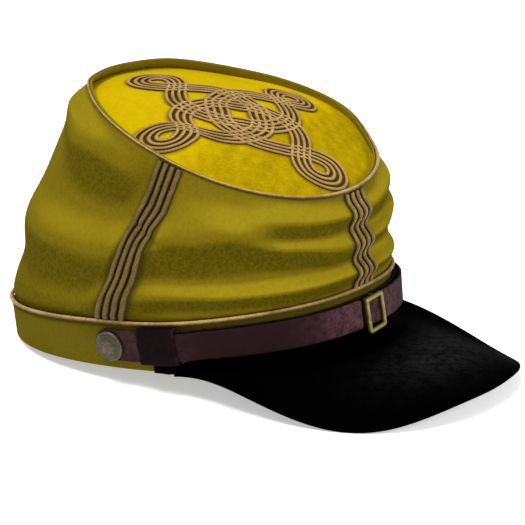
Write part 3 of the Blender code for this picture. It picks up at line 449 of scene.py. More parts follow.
# The rim's plane: its centre, and its axes to the left, to the front and up.
RIM_PITCH = math.radians(OVALS["rim"].pitch)
CENTRE = np.array([0.0, OVALS["rim"].y, OVALS["rim"].z])
LEFT = np.array([1.0, 0.0, 0.0])
FRONT = np.array([0.0, -math.cos(RIM_PITCH), -math.sin(RIM_PITCH)])
UP = np.array([0.0, -math.sin(RIM_PITCH), math.cos(RIM_PITCH)])


def top_edge():
    """The seam of the top, in the rim's plane: turn, radius and height."""
    angle = circle(720)
    away = wall(angle, level_below_rim(angle, TOP_BELOW_RIM), FELT + TOP_SEAM) - CENTRE
    u, v = away @ LEFT, away @ FRONT
    order = np.argsort(np.arctan2(v, u))
    return np.arctan2(v, u)[order], np.hypot(u, v)[order], (away @ UP)[order]


TOP_EDGE = top_edge()


def top_surface(u, v, lift=0.0):
    """The top's face, u to the left and v to the front of the rim's centre."""
    u, v = np.asarray(u), np.asarray(v)
    turn, radius, height = TOP_EDGE
    heading = np.arctan2(v, u)
    part = np.hypot(u, v) / np.interp(heading, turn, radius, period=2.0 * PI)
    edge_height = np.interp(heading, turn, height, period=2.0 * PI)
    share = part ** TOP_POWER
    uneven = 0.16 * soft_waves(u, v, 11, 12, 0.06, 0.25) * smooth_step((1.0 - share) / 0.2)
    for swell in TOP_SWELLS.values():
        near = bell((u - swell.left) / swell.half_left, (v - swell.front) / swell.half_front)
        uneven = uneven + swell.rise * near * smooth_step((1.0 - share) / 0.15)
    collar = np.interp(np.degrees(np.arctan2(-u, v)), *np.transpose(COLLAR_RISES))
    uneven = uneven + collar * smooth_step((part - COLLAR_FROM) / (1.0 - COLLAR_FROM))
    rise = TOP_CROWN * (1.0 - share) + edge_height * share + uneven + lift
    return CENTRE + u[..., None] * LEFT + v[..., None] * FRONT + rise[..., None] * UP


def strap_free(angle):
    """1 where the strap stands off the band in front, 0 toward the buttons."""
    return smooth_step((STRAP.free_angle - np.abs(np.degrees(angle))) / STRAP.free_span)


def strap_gap(angle):
    """From the band to the outer strap's inner face."""
    turn = np.degrees(angle)
    off_keeper = np.maximum(KEEPER.angles[0] - turn, turn - KEEPER.angles[1])
    keeper = (KEEPER.wall + GAP) * smooth_step(1.0 - off_keeper / KEEPER.fade)
    layer = STRAP.thick + GAP
    double = layer * smooth_step((STRAP.double_angle - np.abs(turn)) / STRAP.double_span)
    free_gap = (STRAP.standoff - STRAP.thick - GAP - layer) * strap_free(angle)
    return GAP + double + np.maximum(keeper, free_gap)


def under_gap(angle):
    return strap_gap(angle) - STRAP.thick - GAP - STRAP.parting * strap_free(angle)


def strap_point(angle, height, away):
    """A point beside the strap's middle line: height up its face, away from the band."""
    lean = math.radians(STRAP.lean) * strap_free(angle)
    depth = away - strap_gap(angle)
    rise = height * np.cos(lean) + depth * np.sin(lean)
    away = strap_gap(angle) + depth * np.cos(lean) - height * np.sin(lean)
    top = oval("band_top", angle)[..., 2]
    level = (top - STRAP.below_cord + rise) / top
    return between(BAND, angle, level) + outward(BAND, angle, level) * away[..., None]


# ---------------------------------------------------------------- meshes
def turned(vectors):
    """Vectors of the cap's frame as they are in the world's."""
    x, y, z = np.moveaxis(np.asarray(vectors, float), -1, 0)
    c, s = math.cos(LEAN), math.sin(LEAN)
    return np.stack([x, y * c + z * s, z * c - y * s], axis=-1)


def to_world(points):
    return (turned(points) + PLACE) * MM


def show(name, data):
    """A new object in the scene."""
    made = bpy.data.objects.new(name, data)
    bpy.context.scene.collection.objects.link(made)
    return made


def build_mesh(name, points, faces, look, nodes, marks, sharp=None, mend=False):
    """A piece from points in the cap's frame; marks are named values per point, and mend
    turns its faces outward."""
    mesh = bpy.data.meshes.new(name)
    mesh.from_pydata(to_world(points).tolist(), [], faces)
    mesh.validate()
    if mend:
        work = bmesh.new()
        work.from_mesh(mesh)
        bmesh.ops.recalc_face_normals(work, faces=work.faces)
        work.to_mesh(mesh)
        work.free()
    mesh.shade_smooth()
    if sharp is not None:
        mesh.set_sharp_from_angle(angle=math.radians(sharp))
    for label, values in marks.items():
        held = mesh.attributes.new(label, "FLOAT", "POINT")
        held.data.foreach_set("value", np.asarray(values, np.float32).ravel())
    material, slot = look
    mesh.materials.append(material)
    piece = show(name, mesh)
    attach(piece, "root")
    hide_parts(*nodes)


def tube_faces(stations, sides, closed, first):
    """Quads between rings of points, and two end faces unless the tube is closed."""
    r, c = np.meshgrid(np.arange(stations if closed else stations - 1), np.arange(sides),
                       indexing="ij")
    r2, c2 = (r + 1) % stations, (c + 1) % sides
    corners = [r * sides + c, r * sides + c2, r2 * sides + c2, r2 * sides + c]
    faces = (np.stack(corners, axis=-1).reshape(-1, 4) + first).tolist()
    if not closed:
        end = first + (stations - 1) * sides
        faces += [list(range(first, first + sides))[::-1], list(range(end, end + sides))]
    return faces


def build(name, tubes, look, nodes, sharp=None, mend=False):
    """A piece from tubes: points by ring and place, whether it is closed, and marks."""
    faces = []
    first = 0
    for points, closed, _ in tubes:
        faces += tube_faces(*points.shape[:2], closed, first)
        first += points[..., 0].size
    points = np.concatenate([points.reshape(-1, 3) for points, _, _ in tubes])
    marks = {label: np.concatenate([held[label].ravel() for _, _, held in tubes])
             for label in tubes[0][2]}
    if not mend:
        quads = np.array([face for face in faces if len(face) == 4])
        a, b, c, d = (points[quads[:, k]] for k in range(4))
        if (a * np.cross(b, c)).sum() + (a * np.cross(c, d)).sum() < 0:
            faces = [face[::-1] for face in faces]
    build_mesh(name, points, faces, look, nodes, marks, sharp, mend)


class Rows:
    """Rows of points with their marks, gathered to make one tube."""

    def __init__(self):
        self.rows = []
        self.marks = {}

    def add(self, row, **marks):
        self.rows.append(row)
        for label, value in marks.items():
            self.marks.setdefault(label, []).append(np.broadcast_to(value, row.shape[:-1]))

    def tube(self, closed, axis=1):
        """The tube; a row is a ring of it with axis 0, and a line along it with axis 1."""
        marks = {label: np.stack(values, axis) for label, values in self.marks.items()}
        return np.stack(self.rows, axis), closed, marks


# ---------------------------------------------------------------- materials
class Graph:
    """A short way to write a node material."""

    def __init__(self, name):
        self.material = bpy.data.materials.new(name)
        self.material.use_nodes = True
        self.tree = self.material.node_tree
        self.shader = self.tree.nodes["Principled BSDF"]
        self.place = self.tree.nodes.new("ShaderNodeTexCoord").outputs["Object"]

    def feed(self, socket, value):
        if isinstance(value, bpy.types.NodeSocket):
            self.tree.links.new(value, socket)
        elif isinstance(value, tuple) and len(value) == 3 and socket.type == "RGBA":
            socket.default_value = (*value, 1.0)
        else:
            socket.default_value = value

    def node(self, kind, output, inputs, setting=None, value=None):
        """A node with one setting, fed with numbers, colours or other nodes' outputs."""
        node = self.tree.nodes.new("ShaderNode" + kind)
        if setting:
            setattr(node, setting, value)
        for label, held in inputs.items():
            self.feed(node.inputs[label], held)
        return node.outputs[output]

    def noise(self, scale, detail=2.0, rough=0.5, vector=None):
        return self.node("TexNoise", "Fac", {"Vector": vector or self.place, "Scale": scale,
                                             "Detail": detail, "Roughness": rough})

    def ramp(self, value, low, high):
        return self.node("MapRange", "Result", {"Value": value, "From Min": low, "From Max": high},
                         "interpolation_type", "SMOOTHSTEP")

    def plus(self, a, b):
        return self.node("Math", 0, {0: a, 1: b}, "operation", "ADD")

    def times(self, a, b):
        return self.node("Math", 0, {0: a, 1: b}, "operation", "MULTIPLY")

    def mix(self, share, a, b):
        return self.node("Mix", "Result", {"Factor": share, "A": a, "B": b}, "data_type", "RGBA")

    def mark(self, name):
        return self.node("Attribute", "Fac", {}, "attribute_name", name)

    def bump(self, height, distance, strength, before=None):
        inputs = {"Height": height, "Distance": distance, "Strength": strength}
        if before is not None:
            inputs["Normal"] = before
        return self.node("Bump", "Normal", inputs)

    def finish(self, **values):
        for label, value in values.items():
            self.feed(self.shader.inputs[label.replace("_", " ")], value)
        return self.material


def felt(name, dark, middle, light, tint, marked):
    """Wool felt: matted fibres, soft blotches, a tone mark that picks between the dark, middle and
    light colours (painted light and shade on the crown and top), and painted shade toward the last
    colour where the shade mark is high; with a little fuzz.
    """
    g = Graph(name)
    blotch = g.ramp(g.noise(38.0, 3.0, 0.55), 0.25, 0.75)
    along = g.node("Mapping", "Vector", {"Vector": g.place, "Scale": (1.0, 1.0, 0.4)})
    fibre = g.noise(1300.0, 3.0, 0.65, along)
    fleck = g.ramp(g.noise(620.0, 2.0, 0.6), 0.35, 0.65)
    spot = g.ramp(g.noise(430.0, 3.0, 0.6), 0.42, 0.68)
    tone = g.mark("tone")
    colour = g.mix(g.ramp(tone, 0.0, 0.5), dark, middle)
    colour = g.mix(g.ramp(tone, 0.5, 1.0), colour, light)
    for pattern, share, other in ((blotch, 0.12, dark), (fleck, 0.17, light), (spot, 0.12, dark),
                                  (g.ramp(fibre, 0.50, 0.75), 0.22, dark)):
        colour = g.mix(g.times(pattern, share), colour, other)
    colour = g.mix(g.mark("shade"), colour, marked)
    rough = g.bump(fibre, 0.0004, 0.45)
    rough = g.bump(g.noise(240.0, 3.0, 0.6), 0.0006, 0.35, rough)
    return g.finish(Base_Color=colour, Roughness=1.0, Normal=rough, Sheen_Weight=0.02,
                    Sheen_Roughness=0.5, Sheen_Tint=tint, Specular_IOR_Level=0.0)


def braid(name, dark, middle, light):
    """Worsted braid: painted shade where it turns in and painted light on its top, both by the
    relief mark, with fine threads.
    """
    g = Graph(name)
    relief = g.mark("relief")
    thread = g.noise(1900.0, 2.0, 0.6)
    colour = g.mix(g.ramp(relief, 0.05, 0.60), dark, middle)
    share = g.times(g.ramp(relief, 0.55, 1.0), g.ramp(thread, 0.25, 0.60))
    colour = g.mix(share, colour, light)
    worn = g.ramp(g.noise(75.0, 3.0, 0.6), 0.40, 0.72)
    colour = g.mix(g.times(worn, 0.35), colour, dark)
    return g.finish(Base_Color=colour, Roughness=0.80, Normal=g.bump(thread, 0.00025, 0.5),
                    Sheen_Weight=0.12, Sheen_Roughness=0.4, Sheen_Tint=(1.0, 0.80, 0.45),
                    Specular_IOR_Level=0.10)


def leather(name, dark, middle, rough, grain, bump, gloss, wear):
    """Leather: a pebbled grain with creases, mottled colour, painted shade toward the dark colour
    where the shade mark is high, and worn edges where marked.
    """
    g = Graph(name)
    pebble = g.node("TexVoronoi", "Distance", {"Vector": g.place, "Scale": grain})
    crease = g.noise(grain * 0.35, 4.0, 0.6)
    mottle = g.ramp(g.noise(260.0, 4.0, 0.75), 0.36, 0.64)
    cloud = g.ramp(g.noise(55.0, 3.0, 0.6), 0.3, 0.7)
    colour = g.mix(g.times(mottle, 0.75), middle, dark)
    colour = g.mix(g.times(cloud, 0.45), colour, dark)
    colour = g.mix(g.mark("shade"), colour, dark)
    edge = g.times(g.mark("edge"), g.ramp(g.noise(300.0, 3.0), 0.3, 0.7))
    colour = g.mix(edge, colour, wear)
    normal = g.bump(g.plus(pebble, g.times(crease, 0.8)), bump, 0.6)
    uneven = g.plus(g.times(g.noise(180.0, 3.0), 0.18), rough - 0.09)
    return g.finish(Base_Color=colour, Roughness=uneven, Normal=normal, Specular_IOR_Level=gloss)


def brass(name, dark, middle, light):
    """Old brass: dull, dark where grime stays, brighter where it is worn."""
    g = Graph(name)
    relief = g.mark("relief")
    stain = g.ramp(g.noise(520.0, 4.0, 0.65), 0.35, 0.7)
    colour = g.mix(g.ramp(relief, 0.0, 0.6), dark, middle)
    colour = g.mix(g.times(g.ramp(relief, 0.55, 1.0), 0.6), colour, light)
    colour = g.mix(g.times(stain, 0.45), colour, dark)
    return g.finish(Base_Color=colour, Roughness=g.plus(g.times(stain, 0.2), 0.40), Metallic=0.75,
                    Normal=g.bump(g.noise(1400.0, 3.0), 0.00008, 0.6))


# Each look is a material and its slot.
# A felt's dark, middle and light colours are picked by its tone mark, which on the crown and top
# paints light and shade; its last colour is the painted shade of its shade mark.
FELT_SIDE = (felt("olive_felt", (0.060, 0.044, 0.0019), (0.123, 0.090, 0.0034),
                  (0.212, 0.158, 0.0058), (1.0, 0.85, 0.15), (0.030, 0.021, 0.002)), "felt")
FELT_BAND = (felt("band_felt", (0.054, 0.040, 0.0026), (0.096, 0.072, 0.0042),
                  (0.150, 0.112, 0.0064), (1.0, 0.85, 0.15), (0.030, 0.021, 0.002)), "felt")
FELT_TOP = (felt("top_felt", (0.215, 0.146, 0.0006), (0.420, 0.292, 0.0009),
                 (0.530, 0.378, 0.0014), (1.0, 0.88, 0.10), (0.060, 0.036, 0.0010)), "top_felt")
# The braids' dark, middle and light colours are picked by the relief mark: painted shade on the
# sides, painted light on the tops.
BRAID_SIDE = (braid("tan_braid", (0.017, 0.010, 0.002), (0.116, 0.074, 0.020),
                    (0.265, 0.172, 0.056)), "braid")
BRAID_TOP = (braid("tan_knot_braid", (0.060, 0.028, 0.006), (0.222, 0.130, 0.041),
                   (0.410, 0.260, 0.098)), "braid")
PIPING = (braid("tan_piping", (0.040, 0.024, 0.006), (0.130, 0.082, 0.024),
                (0.400, 0.270, 0.110)), "braid")
# Near-black strips under the braid sets and the knot's cords, which paint the shade between them.
RIB_SHADE_FILL = (leather("rib_shade_fill", (0.0060, 0.0055, 0.0010), (0.0120, 0.0100, 0.0016), 0.95,
                   1200.0, 0.0001, 0.0, (0.02, 0.016, 0.003)), "braid")
KNOT_SHADE_FILL = (leather("knot_shade_fill", (0.045, 0.024, 0.002), (0.080, 0.046, 0.003), 0.95,
                        1200.0, 0.0001, 0.0, (0.06, 0.04, 0.004)), "braid")
# The peak's shade mark keeps it black; its middle grey shows only as the painted highlight.
PEAK_LEATHER = (leather("peak_leather", (0.0002, 0.0002, 0.0002), (0.0140, 0.0140, 0.0140), 0.70,
                        1500.0, 0.00003, 0.002, (0.0002, 0.0002, 0.0002)), "peak_leather")
STRAP_LEATHER = (leather("strap_leather", (0.013, 0.0052, 0.0060), (0.084, 0.038, 0.043), 0.72,
                         900.0, 0.00018, 0.025, (0.012, 0.005, 0.006)), "strap_leather")
DARK_LEATHER = (leather("dark_leather", (0.0036, 0.0015, 0.0018), (0.0082, 0.0036, 0.0042), 0.74,
                        900.0, 0.00016, 0.02, (0.018, 0.008, 0.009)), "keeper_leather")
BRASS = (brass("old_brass", (0.038, 0.030, 0.006), (0.170, 0.138, 0.026),
               (0.31, 0.265, 0.070)), "old_brass")
BUTTON_BRASS = (brass("button_brass", (0.026, 0.021, 0.011), (0.078, 0.063, 0.034),
                      (0.165, 0.138, 0.082)), "old_brass")


# ---------------------------------------------------------------- felt pieces
def set_line(sizes, share):
    """A braid set's middle in degrees and its width, at parts of its way up."""
    return (sizes.angle_low * (1.0 - share) + sizes.angle_high * share,
            sizes.width_low * (1.0 - share) + sizes.width_high * share)


def wall_tone(angle, level):
    """How light the felt is painted: painted light on upward slopes and painted shade on
    undersides, with the painted light and shade of the tone tables.
    """
    step = 0.012
    climb = fold_push(angle, level + step) - fold_push(angle, level - step)
    tone = 0.50 - 1.15 * climb / (2.0 * step * wall_height(angle))
    turn = turn_apart(angle)
    for turns, patches in ((np.abs(turn), SIDE_TONES), (turn, FRONT_TONES)):
        for patch in patches.values():
            tone = tone + patch.amount * bell((turns - patch.angle) / patch.angle_half,
                                              (level - patch.level) / patch.level_half)
    return np.clip(tone, 0.0, 1.0)


def braid_edge_shade(angle, level, pace):
    """Painted shade along the edges of the braid sets."""
    felt_shade = np.zeros(np.broadcast(angle, level).shape)
    for sizes in BRAID_SETS.values():
        middle, width = set_line(sizes, level)
        across = np.radians(np.abs(turn_apart(angle, middle))) * pace
        felt_shade = np.maximum(felt_shade, bell(np.maximum(across - width / 2.0, 0.0) / EDGE_SHADE.reach))
    return felt_shade * EDGE_SHADE.beside_braid


def make_band():
    """The band: one felt wall with a soft folded lower edge."""
    angle = circle(STEPS.band)
    band = Rows()

    def add(level, inset, tone, shade=0.0):
        band.add(band_wall(angle, np.full_like(angle, level), inset), tone=tone, shade=shade)

    levels = np.linspace(0.08, 1.0, 24)
    # The outer face: a random tone, with painted shade toward the band's top, under its cord.
    for level in levels[::-1]:
        add(level, 0.0, 0.46 + 0.08 * soft_waves(angle * 90.0, level * 26.0, 8, 9, 0.04, 0.2),
            EDGE_SHADE.most * smooth_step((level - EDGE_SHADE.band) / EDGE_SHADE.band_span))
    for turn in np.linspace(0.0, PI, 9):
        height = 1.1 * (1.0 - math.sin(turn))
        add(height / OVALS["band_top"].z, BAND_FELT / 2.0 * (1.0 - math.cos(turn)), 0.50)
    for level in levels:
        add(level, BAND_FELT, 0.35)
    build("felt_band", [band.tube(True, 0)], FELT_BAND, ["band"])


def rim_cord_radius(angle):
    return RIM_CORD_RADIUS * np.interp(turn_apart(angle), *np.transpose(RIM_CORD_SHARES))


def make_crown():
    """The crown wall with its folds, closed over at its top edge by a soft lip."""
    angle = circle(STEPS.crown)
    height = wall_height(angle)
    pace = wall_pace(angle, 0.5 + 0.0 * angle)
    edge = level_below_rim(angle, WALL_BELOW_RIM)
    crown = Rows()

    def add(level, inset, tone, shade):
        row = wall(angle, level, inset)
        row[:, 2] += GAP * foot_share(level)
        crown.add(row, tone=tone, shade=shade)

    # Painted shade at the rim, at the foot under the band's cord and beside the braid sets, over
    # the painted light and shade of the folds.
    for share in np.linspace(0.0, 1.0, 140):
        level = share * edge
        rim_shade = EDGE_SHADE.most * smooth_step((level - EDGE_SHADE.rim) / EDGE_SHADE.rim_span)
        foot_shade = EDGE_SHADE.most * smooth_step((EDGE_SHADE.foot - level) / EDGE_SHADE.foot_span)
        felt_shade = np.maximum(np.maximum(rim_shade, foot_shade), braid_edge_shade(angle, level, pace))
        add(level, 0.0, wall_tone(angle, level), felt_shade)
    far = 0.5 + 0.5 * np.cos(np.radians(turn_apart(angle, LIP_FAR_ANGLE)))
    groove = rim_cord_radius(angle) + RIM_GROOVE_CLEAR
    for inset, above in RIM_GROOVE:
        add(1.0 + above * groove / height, inset * groove, *CROWN_MARKS["groove"])
    for inset, above in RIM_LIP:
        above = above * np.where(above > 0.0, LIP_RISES[0] + LIP_RISES[1] * far, 1.0)
        add(1.0 + above / height, inset, *CROWN_MARKS["lip"])
    # The inner wall below the rim is painted light, with painted shade deepening toward the top's
    # seam.
    for depth in np.linspace(WALL_BELOW_RIM, 7.5, 14):
        add(1.0 - depth / height, FELT, 1.0, 0.22 * smooth_step((depth - 3.4) / 2.2))
    for share in np.linspace(0.88, 0.0, 26):
        add(share * edge, FELT, *CROWN_MARKS["inside"])
    build("felt_crown", [crown.tube(True, 0)], FELT_SIDE, ["crown_side"])


def make_top():
    """The sunken top, painted darker toward its front, with painted shade along its seam and a
    painted shadow round the laid knot.
    """
    turn, seam_radius, _ = TOP_EDGE
    heading = circle(STEPS.top) - PI
    radius = np.interp(heading, turn, seam_radius, period=2.0 * PI)
    laid = np.concatenate([np.stack(knot_place(*path.T), axis=1) for path, _, _ in KNOT])
    cords = KDTree(len(laid))
    for index, (u, v) in enumerate(laid):
        cords.insert((u, v, 0.0), index)
    cords.balance()
    top = Rows()
    for share in (*np.linspace(0.97, 0.012, 84)[::-1], 0.985, 1.0):
        u, v = np.cos(heading) * radius * share, np.sin(heading) * radius * share
        near = np.array([cords.find((a, b, 0.0))[2] for a, b in zip(u, v)])
        # A painted shadow round the cords and painted shade along the seam.
        off_cord = np.maximum(near - TOP_TONE.halo_from, 0.0)
        halo = TOP_TONE.halo * bell(off_cord / TOP_TONE.halo_reach)
        seam = TOP_TONE.seam * smooth_step((share - TOP_TONE.seam_from) / TOP_TONE.seam_span)
        # The top is painted darker toward its front, with a random unevenness.
        tone = (TOP_TONE.rear - TOP_TONE.fall * smooth_step((v - TOP_TONE.start) / TOP_TONE.span)
                + TOP_TONE.uneven * soft_waves(u, v, 31, 16, 0.15, 0.9))
        top.add(top_surface(u, v), tone=np.clip(tone, 0.0, 1.0), shade=np.maximum(halo, seam))
    for row in top.rows[::9][::-1]:
        top.add(row - UP * TOP_FELT, tone=0.0, shade=0.0)
    build("felt_top", [top.tube(False, 0)], FELT_TOP, ["crown_top"])


# ---------------------------------------------------------------- cords and braid
def piping(name, line, radius, node, light):
    """A smooth piping cord along a closed line, painted light where it faces the given way and
    painted shade on its other side.
    """
    along = closed_along(line)
    length = np.linalg.norm(np.roll(line, -1, axis=0) - line, axis=1)
    run = np.concatenate([[0.0], np.cumsum(length)[:-1]]) / length.sum() * 2.0 * PI
    side = unit(np.cross(along, UPRIGHT))
    side *= np.sign(((line - line.mean(axis=0)) * side).sum(axis=1))[:, None]
    up = np.cross(side, along)
    up *= np.sign(up[:, 2])[:, None]
    uneven = sum(share * np.sin(run * count + count) for count, share in PIPING_WAVES)
    cord = Rows()
    for turn in circle(14):
        c, s = math.cos(turn), math.sin(turn)
        facing = light[0] * c + light[1] * s
        cord.add(line + (radius * (1.0 + uneven))[:, None] * (c * side + s * up),
                 relief=np.clip(0.22 + 0.80 * facing + 2.0 * uneven, 0.0, 1.0))
    build(name, [cord.tube(True)], PIPING, [node])


def even_ring(name, count):
    """Points of an oval at even steps of length, and their angles."""
    fine = np.linspace(0.0, 2.0 * PI, 4001)
    run = run_along(oval(name, fine))
    angle = np.interp(np.arange(count) * run[-1] / count, run, fine)
    return oval(name, angle), angle


def make_cords():
    # Each cord is painted light where it faces up and out, as the light falls.
    line, _ = even_ring("band_top", STEPS.band_cord)
    piping("cord_band", line, BAND_CORD_RADIUS * 0.86, "band_cord", (0.45, 0.89))
    line, angle = even_ring("rim", STEPS.rim_cord)
    piping("cord_rim", line, rim_cord_radius(angle), "rim_cord", (0.25, 0.97))


def make_braid_sets():
    """Each set: four braided ribs on a near-black strip that follows the folds and paints the
    shade between and beside them.
    """
    for name, sizes in BRAID_SETS.items():
        share = np.linspace(SET_FROM, 1.0, STEPS.braid)
        turn, width = set_line(sizes, share)
        beside = abs(math.sin(math.radians(sizes.angle_low)))
        turn = turn - np.sign(turn) * beside * np.interp(share, SET_LEVELS, SET_BENDS)
        width = width * (1.0 + beside * (np.interp(share, SET_LEVELS, SET_SPREADS) - 1.0))
        angle = np.radians(turn)
        level = share * level_below_rim(angle, WALL_BELOW_RIM)
        run = run_along(wall(angle, level))
        pace = wall_pace(angle, level)

        def laid(across, lift):
            """Points beside the set's middle line and off the wall."""
            spot, normal = wall_frame(angle + across / pace, level)
            return spot + normal * np.reshape(lift, (-1, 1))

        ribs = []
        for strand in range(STRANDS):
            offset = (strand - (STRANDS - 1) / 2.0) * (1.0 - STRAND_SHARE) / (STRANDS - 1)
            rib = Rows()
            for turn in np.linspace(0.0, PI, 12):
                c, s = math.cos(turn), math.sin(turn)
                chevron = RIB.chevron * np.sin((run + abs(c) * RIB.pace) / RIB.pace * PI)
                streak = RIB.streak * np.sin(run * 0.9 + strand * 2.0 + 3.0 * c)
                # Painted light on each rib's top and painted shade on its sides, over its chevron
                # weave and random streaks; the side sets' ribs are painted darker.
                painted_highlight = s ** 1.1 * 0.84 + chevron + streak * s
                rib.add(laid((offset + c * STRAND_SHARE / 2.0) * width,
                             RIB.foot + RIB.rise * s ** 0.6 + chevron * s),
                        relief=np.clip(painted_highlight * (1.0 - RIB.side_dark * beside), 0.0, 1.0))
            ribs.append(rib.tube(False))
        nodes = [f"braid_{name}_{strand + 1}" for strand in range(STRANDS)]
        build(f"ribs_{name}", ribs, BRAID_SIDE, nodes)
        shade_strip = Rows()
        half, edge, sunk = SET_SHADE_STRIP.half, SET_SHADE_STRIP.edge, SET_SHADE_STRIP.edge_lift
        section = [(part, SET_SHADE_STRIP.lift) for part in np.linspace(-half, half, 15)]
        section = [(-edge, sunk)] + section + [(edge, sunk), (0.0, SET_SHADE_STRIP.below)]
        for part, lift in section:
            shade_strip.add(laid(part * width, lift), edge=0.0, shade=0.0)
        build(f"backing_{name}", [shade_strip.tube(False)], RIB_SHADE_FILL, nodes)


def knot_quarter(steps):
    """A quarter of the knot's middle line: a curve through the eighth and its mirror."""
    rows = np.array([[-row[1], row[0], row[2]] for row in KNOT_EIGHTH.values()]) * KNOT_SIZE
    mirrored = rows[-2::-1].copy()
    mirrored[:, :2] = -mirrored[:, 1::-1]
    quarter = np.concatenate([rows, mirrored])
    before = 2.0 * quarter[0] - quarter[1]
    before[:2] = quarter[1, :2] * (-1.0, 1.0)
    after = quarter[-2].copy()
    after[:2] = quarter[-2, :2] * (1.0, -1.0)
    padded = np.concatenate([[before], quarter, [after]])
    line = []
    for index in range(1, len(padded) - 2):
        a, b, c, d = padded[index - 1:index + 3]
        for step in range(steps):
            t = step / steps
            line.append(0.5 * (2.0 * b + (c - a) * t + (2.0 * a - 5.0 * b + 4.0 * c - d) * t * t
                               + (3.0 * b - a - 3.0 * c + d) * t ** 3))
    return np.array(line)


def knot_strands(spacing):
    """The four cords of the knot in plan: closed lines at even steps, pitches and lengths."""
    x, y, spread = knot_quarter(24).T
    line = np.concatenate([np.stack([c * x - s * y, s * x + c * y, spread], axis=1)
                           for c, s in ((1, 0), (0, 1), (-1, 0), (0, -1))])
    side = plan_side(line[:, :2])
    strands = []
    for strand in range(STRANDS):
        shift = (strand - (STRANDS - 1) / 2.0) * line[:, 2:] / KNOT_SPREAD
        path = line[:, :2] + side * shift
        closed = np.concatenate([path, path[:1]])
        run = run_along(closed)
        count = int(run[-1] / spacing)
        even = np.arange(count) * run[-1] / count
        pitch = np.interp(even, run, np.append(line[:, 2], line[0, 2])) / KNOT_SPREAD
        strands.append((np.stack([np.interp(even, run, axis) for axis in closed.T], axis=1),
                        pitch, run[-1]))
    return strands


def knot_crossings(strands):
    """Where the cords cross in plan: for each cord, places along it and which is over."""
    coarse = []
    for path, _, length in strands:
        pick = np.linspace(0, len(path), int(length / 1.2), endpoint=False).astype(int)
        coarse.append((path[pick], pick / len(path), length))
    found = [[] for _ in strands]
    for i, (a, share_a, length_a) in enumerate(coarse):
        for j, (b, share_b, length_b) in enumerate(coarse):
            r = (np.roll(a, -1, axis=0) - a)[:, None, :]
            s = (np.roll(b, -1, axis=0) - b)[None, :, :]
            gap = b[None, :, :] - a[:, None, :]
            cross = plan_cross(r, s)
            cross = np.where(np.abs(cross) < 1e-9, 1e-9, cross)
            t, u = plan_cross(gap, s) / cross, plan_cross(gap, r) / cross
            ahead = share_b[None, :] - share_a[:, None]
            hit = (t >= 0) & (t < 1) & (u >= 0) & (u < 1) & (ahead > 0.02) & (ahead < 0.98)
            over = (i + j) % 2 == 0
            for m, n in np.argwhere(hit):
                found[i].append((share_a[m] * length_a + t[m, n] * length_a / len(a), over))
                found[j].append((share_b[n] * length_b + u[m, n] * length_b / len(b), not over))
    return found


def knot_place(x, y):
    """Lay a point of the flat knot on the top, with the slight lean of hand work."""
    left, front = x, y
    for arm in KNOT_ARMS.values():
        fade = smooth_step((x * arm.left + y * arm.front - KNOT_ARM_FROM) / KNOT_ARM_FADE)
        narrow = (arm.spread - 1.0) * fade
        left = left + arm.shift_left * fade + narrow * x * abs(arm.front)
        front = front + arm.shift_front * fade + narrow * y * abs(arm.left)
    return (KNOT_CENTRE[0] + left + KNOT_SKEW * front,
            KNOT_CENTRE[1] + front + KNOT_SKEW * left - KNOT_BOW * left * left)


KNOT = knot_strands(0.55)


def make_knot():
    """The knot: four thin cords over and under each other, on dark strips that paint the shade
    between them.
    """
    crossings = knot_crossings(KNOT)
    cords = []
    grounds = []
    for strand, (path, pitch, length) in enumerate(KNOT):
        run = np.arange(len(path)) / len(path) * length
        climb = np.zeros(len(path))
        for place, over in crossings[strand]:
            away = np.abs(run - place)
            away = np.minimum(away, length - away)
            climb += (KNOT_CLIMB if over else -KNOT_CLIMB) * bell(away / 1.1)
        climb = np.clip(climb, -KNOT_CLIMB, KNOT_CLIMB)
        side = plan_side(path)
        cord = Rows()
        for turn in circle(10):
            c, s = math.cos(turn), math.sin(turn)
            chevron = np.sin((run + abs(c) * 0.8) / KNOT_CORD.pace * PI)
            spot = path + side * (c * pitch * KNOT_STRAND_SHARE)[:, None]
            rise = s * (KNOT_CORD.half + KNOT_CORD.chevron * chevron)
            # Painted light on the cords' tops and where a cord crosses over, painted shade where
            # it passes under.
            cord.add(top_surface(*knot_place(*spot.T), KNOT_CORD.lift + climb + rise),
                     relief=np.clip(0.42 + 0.45 * s + 0.07 * chevron + 0.55 * climb, 0.0, 1.0))
        cords.append(cord.tube(True))
        # Under each cord a dark strip paints the shade between the cords.
        low = -KNOT_SHADE_STRIP.outer if strand == 0 else -KNOT_SHADE_STRIP.inner
        high = KNOT_SHADE_STRIP.outer if strand == STRANDS - 1 else KNOT_SHADE_STRIP.inner
        ground = Rows()
        for part, lift in ((low, KNOT_SHADE_STRIP.below), (low, KNOT_SHADE_STRIP.edge),
                           ((low + high) / 2.0, KNOT_SHADE_STRIP.middle), (high, KNOT_SHADE_STRIP.edge),
                           (high, KNOT_SHADE_STRIP.below)):
            spot = path[::3] + side[::3] * part * pitch[::3, None]
            ground.add(top_surface(*knot_place(*spot.T), lift), edge=0.0, shade=0.0)
        grounds.append(ground.tube(True))
    build("knot_cords", cords, BRAID_TOP, ["crown_knot"])
    build("knot_shade_fill", grounds, KNOT_SHADE_FILL, ["crown_knot"])


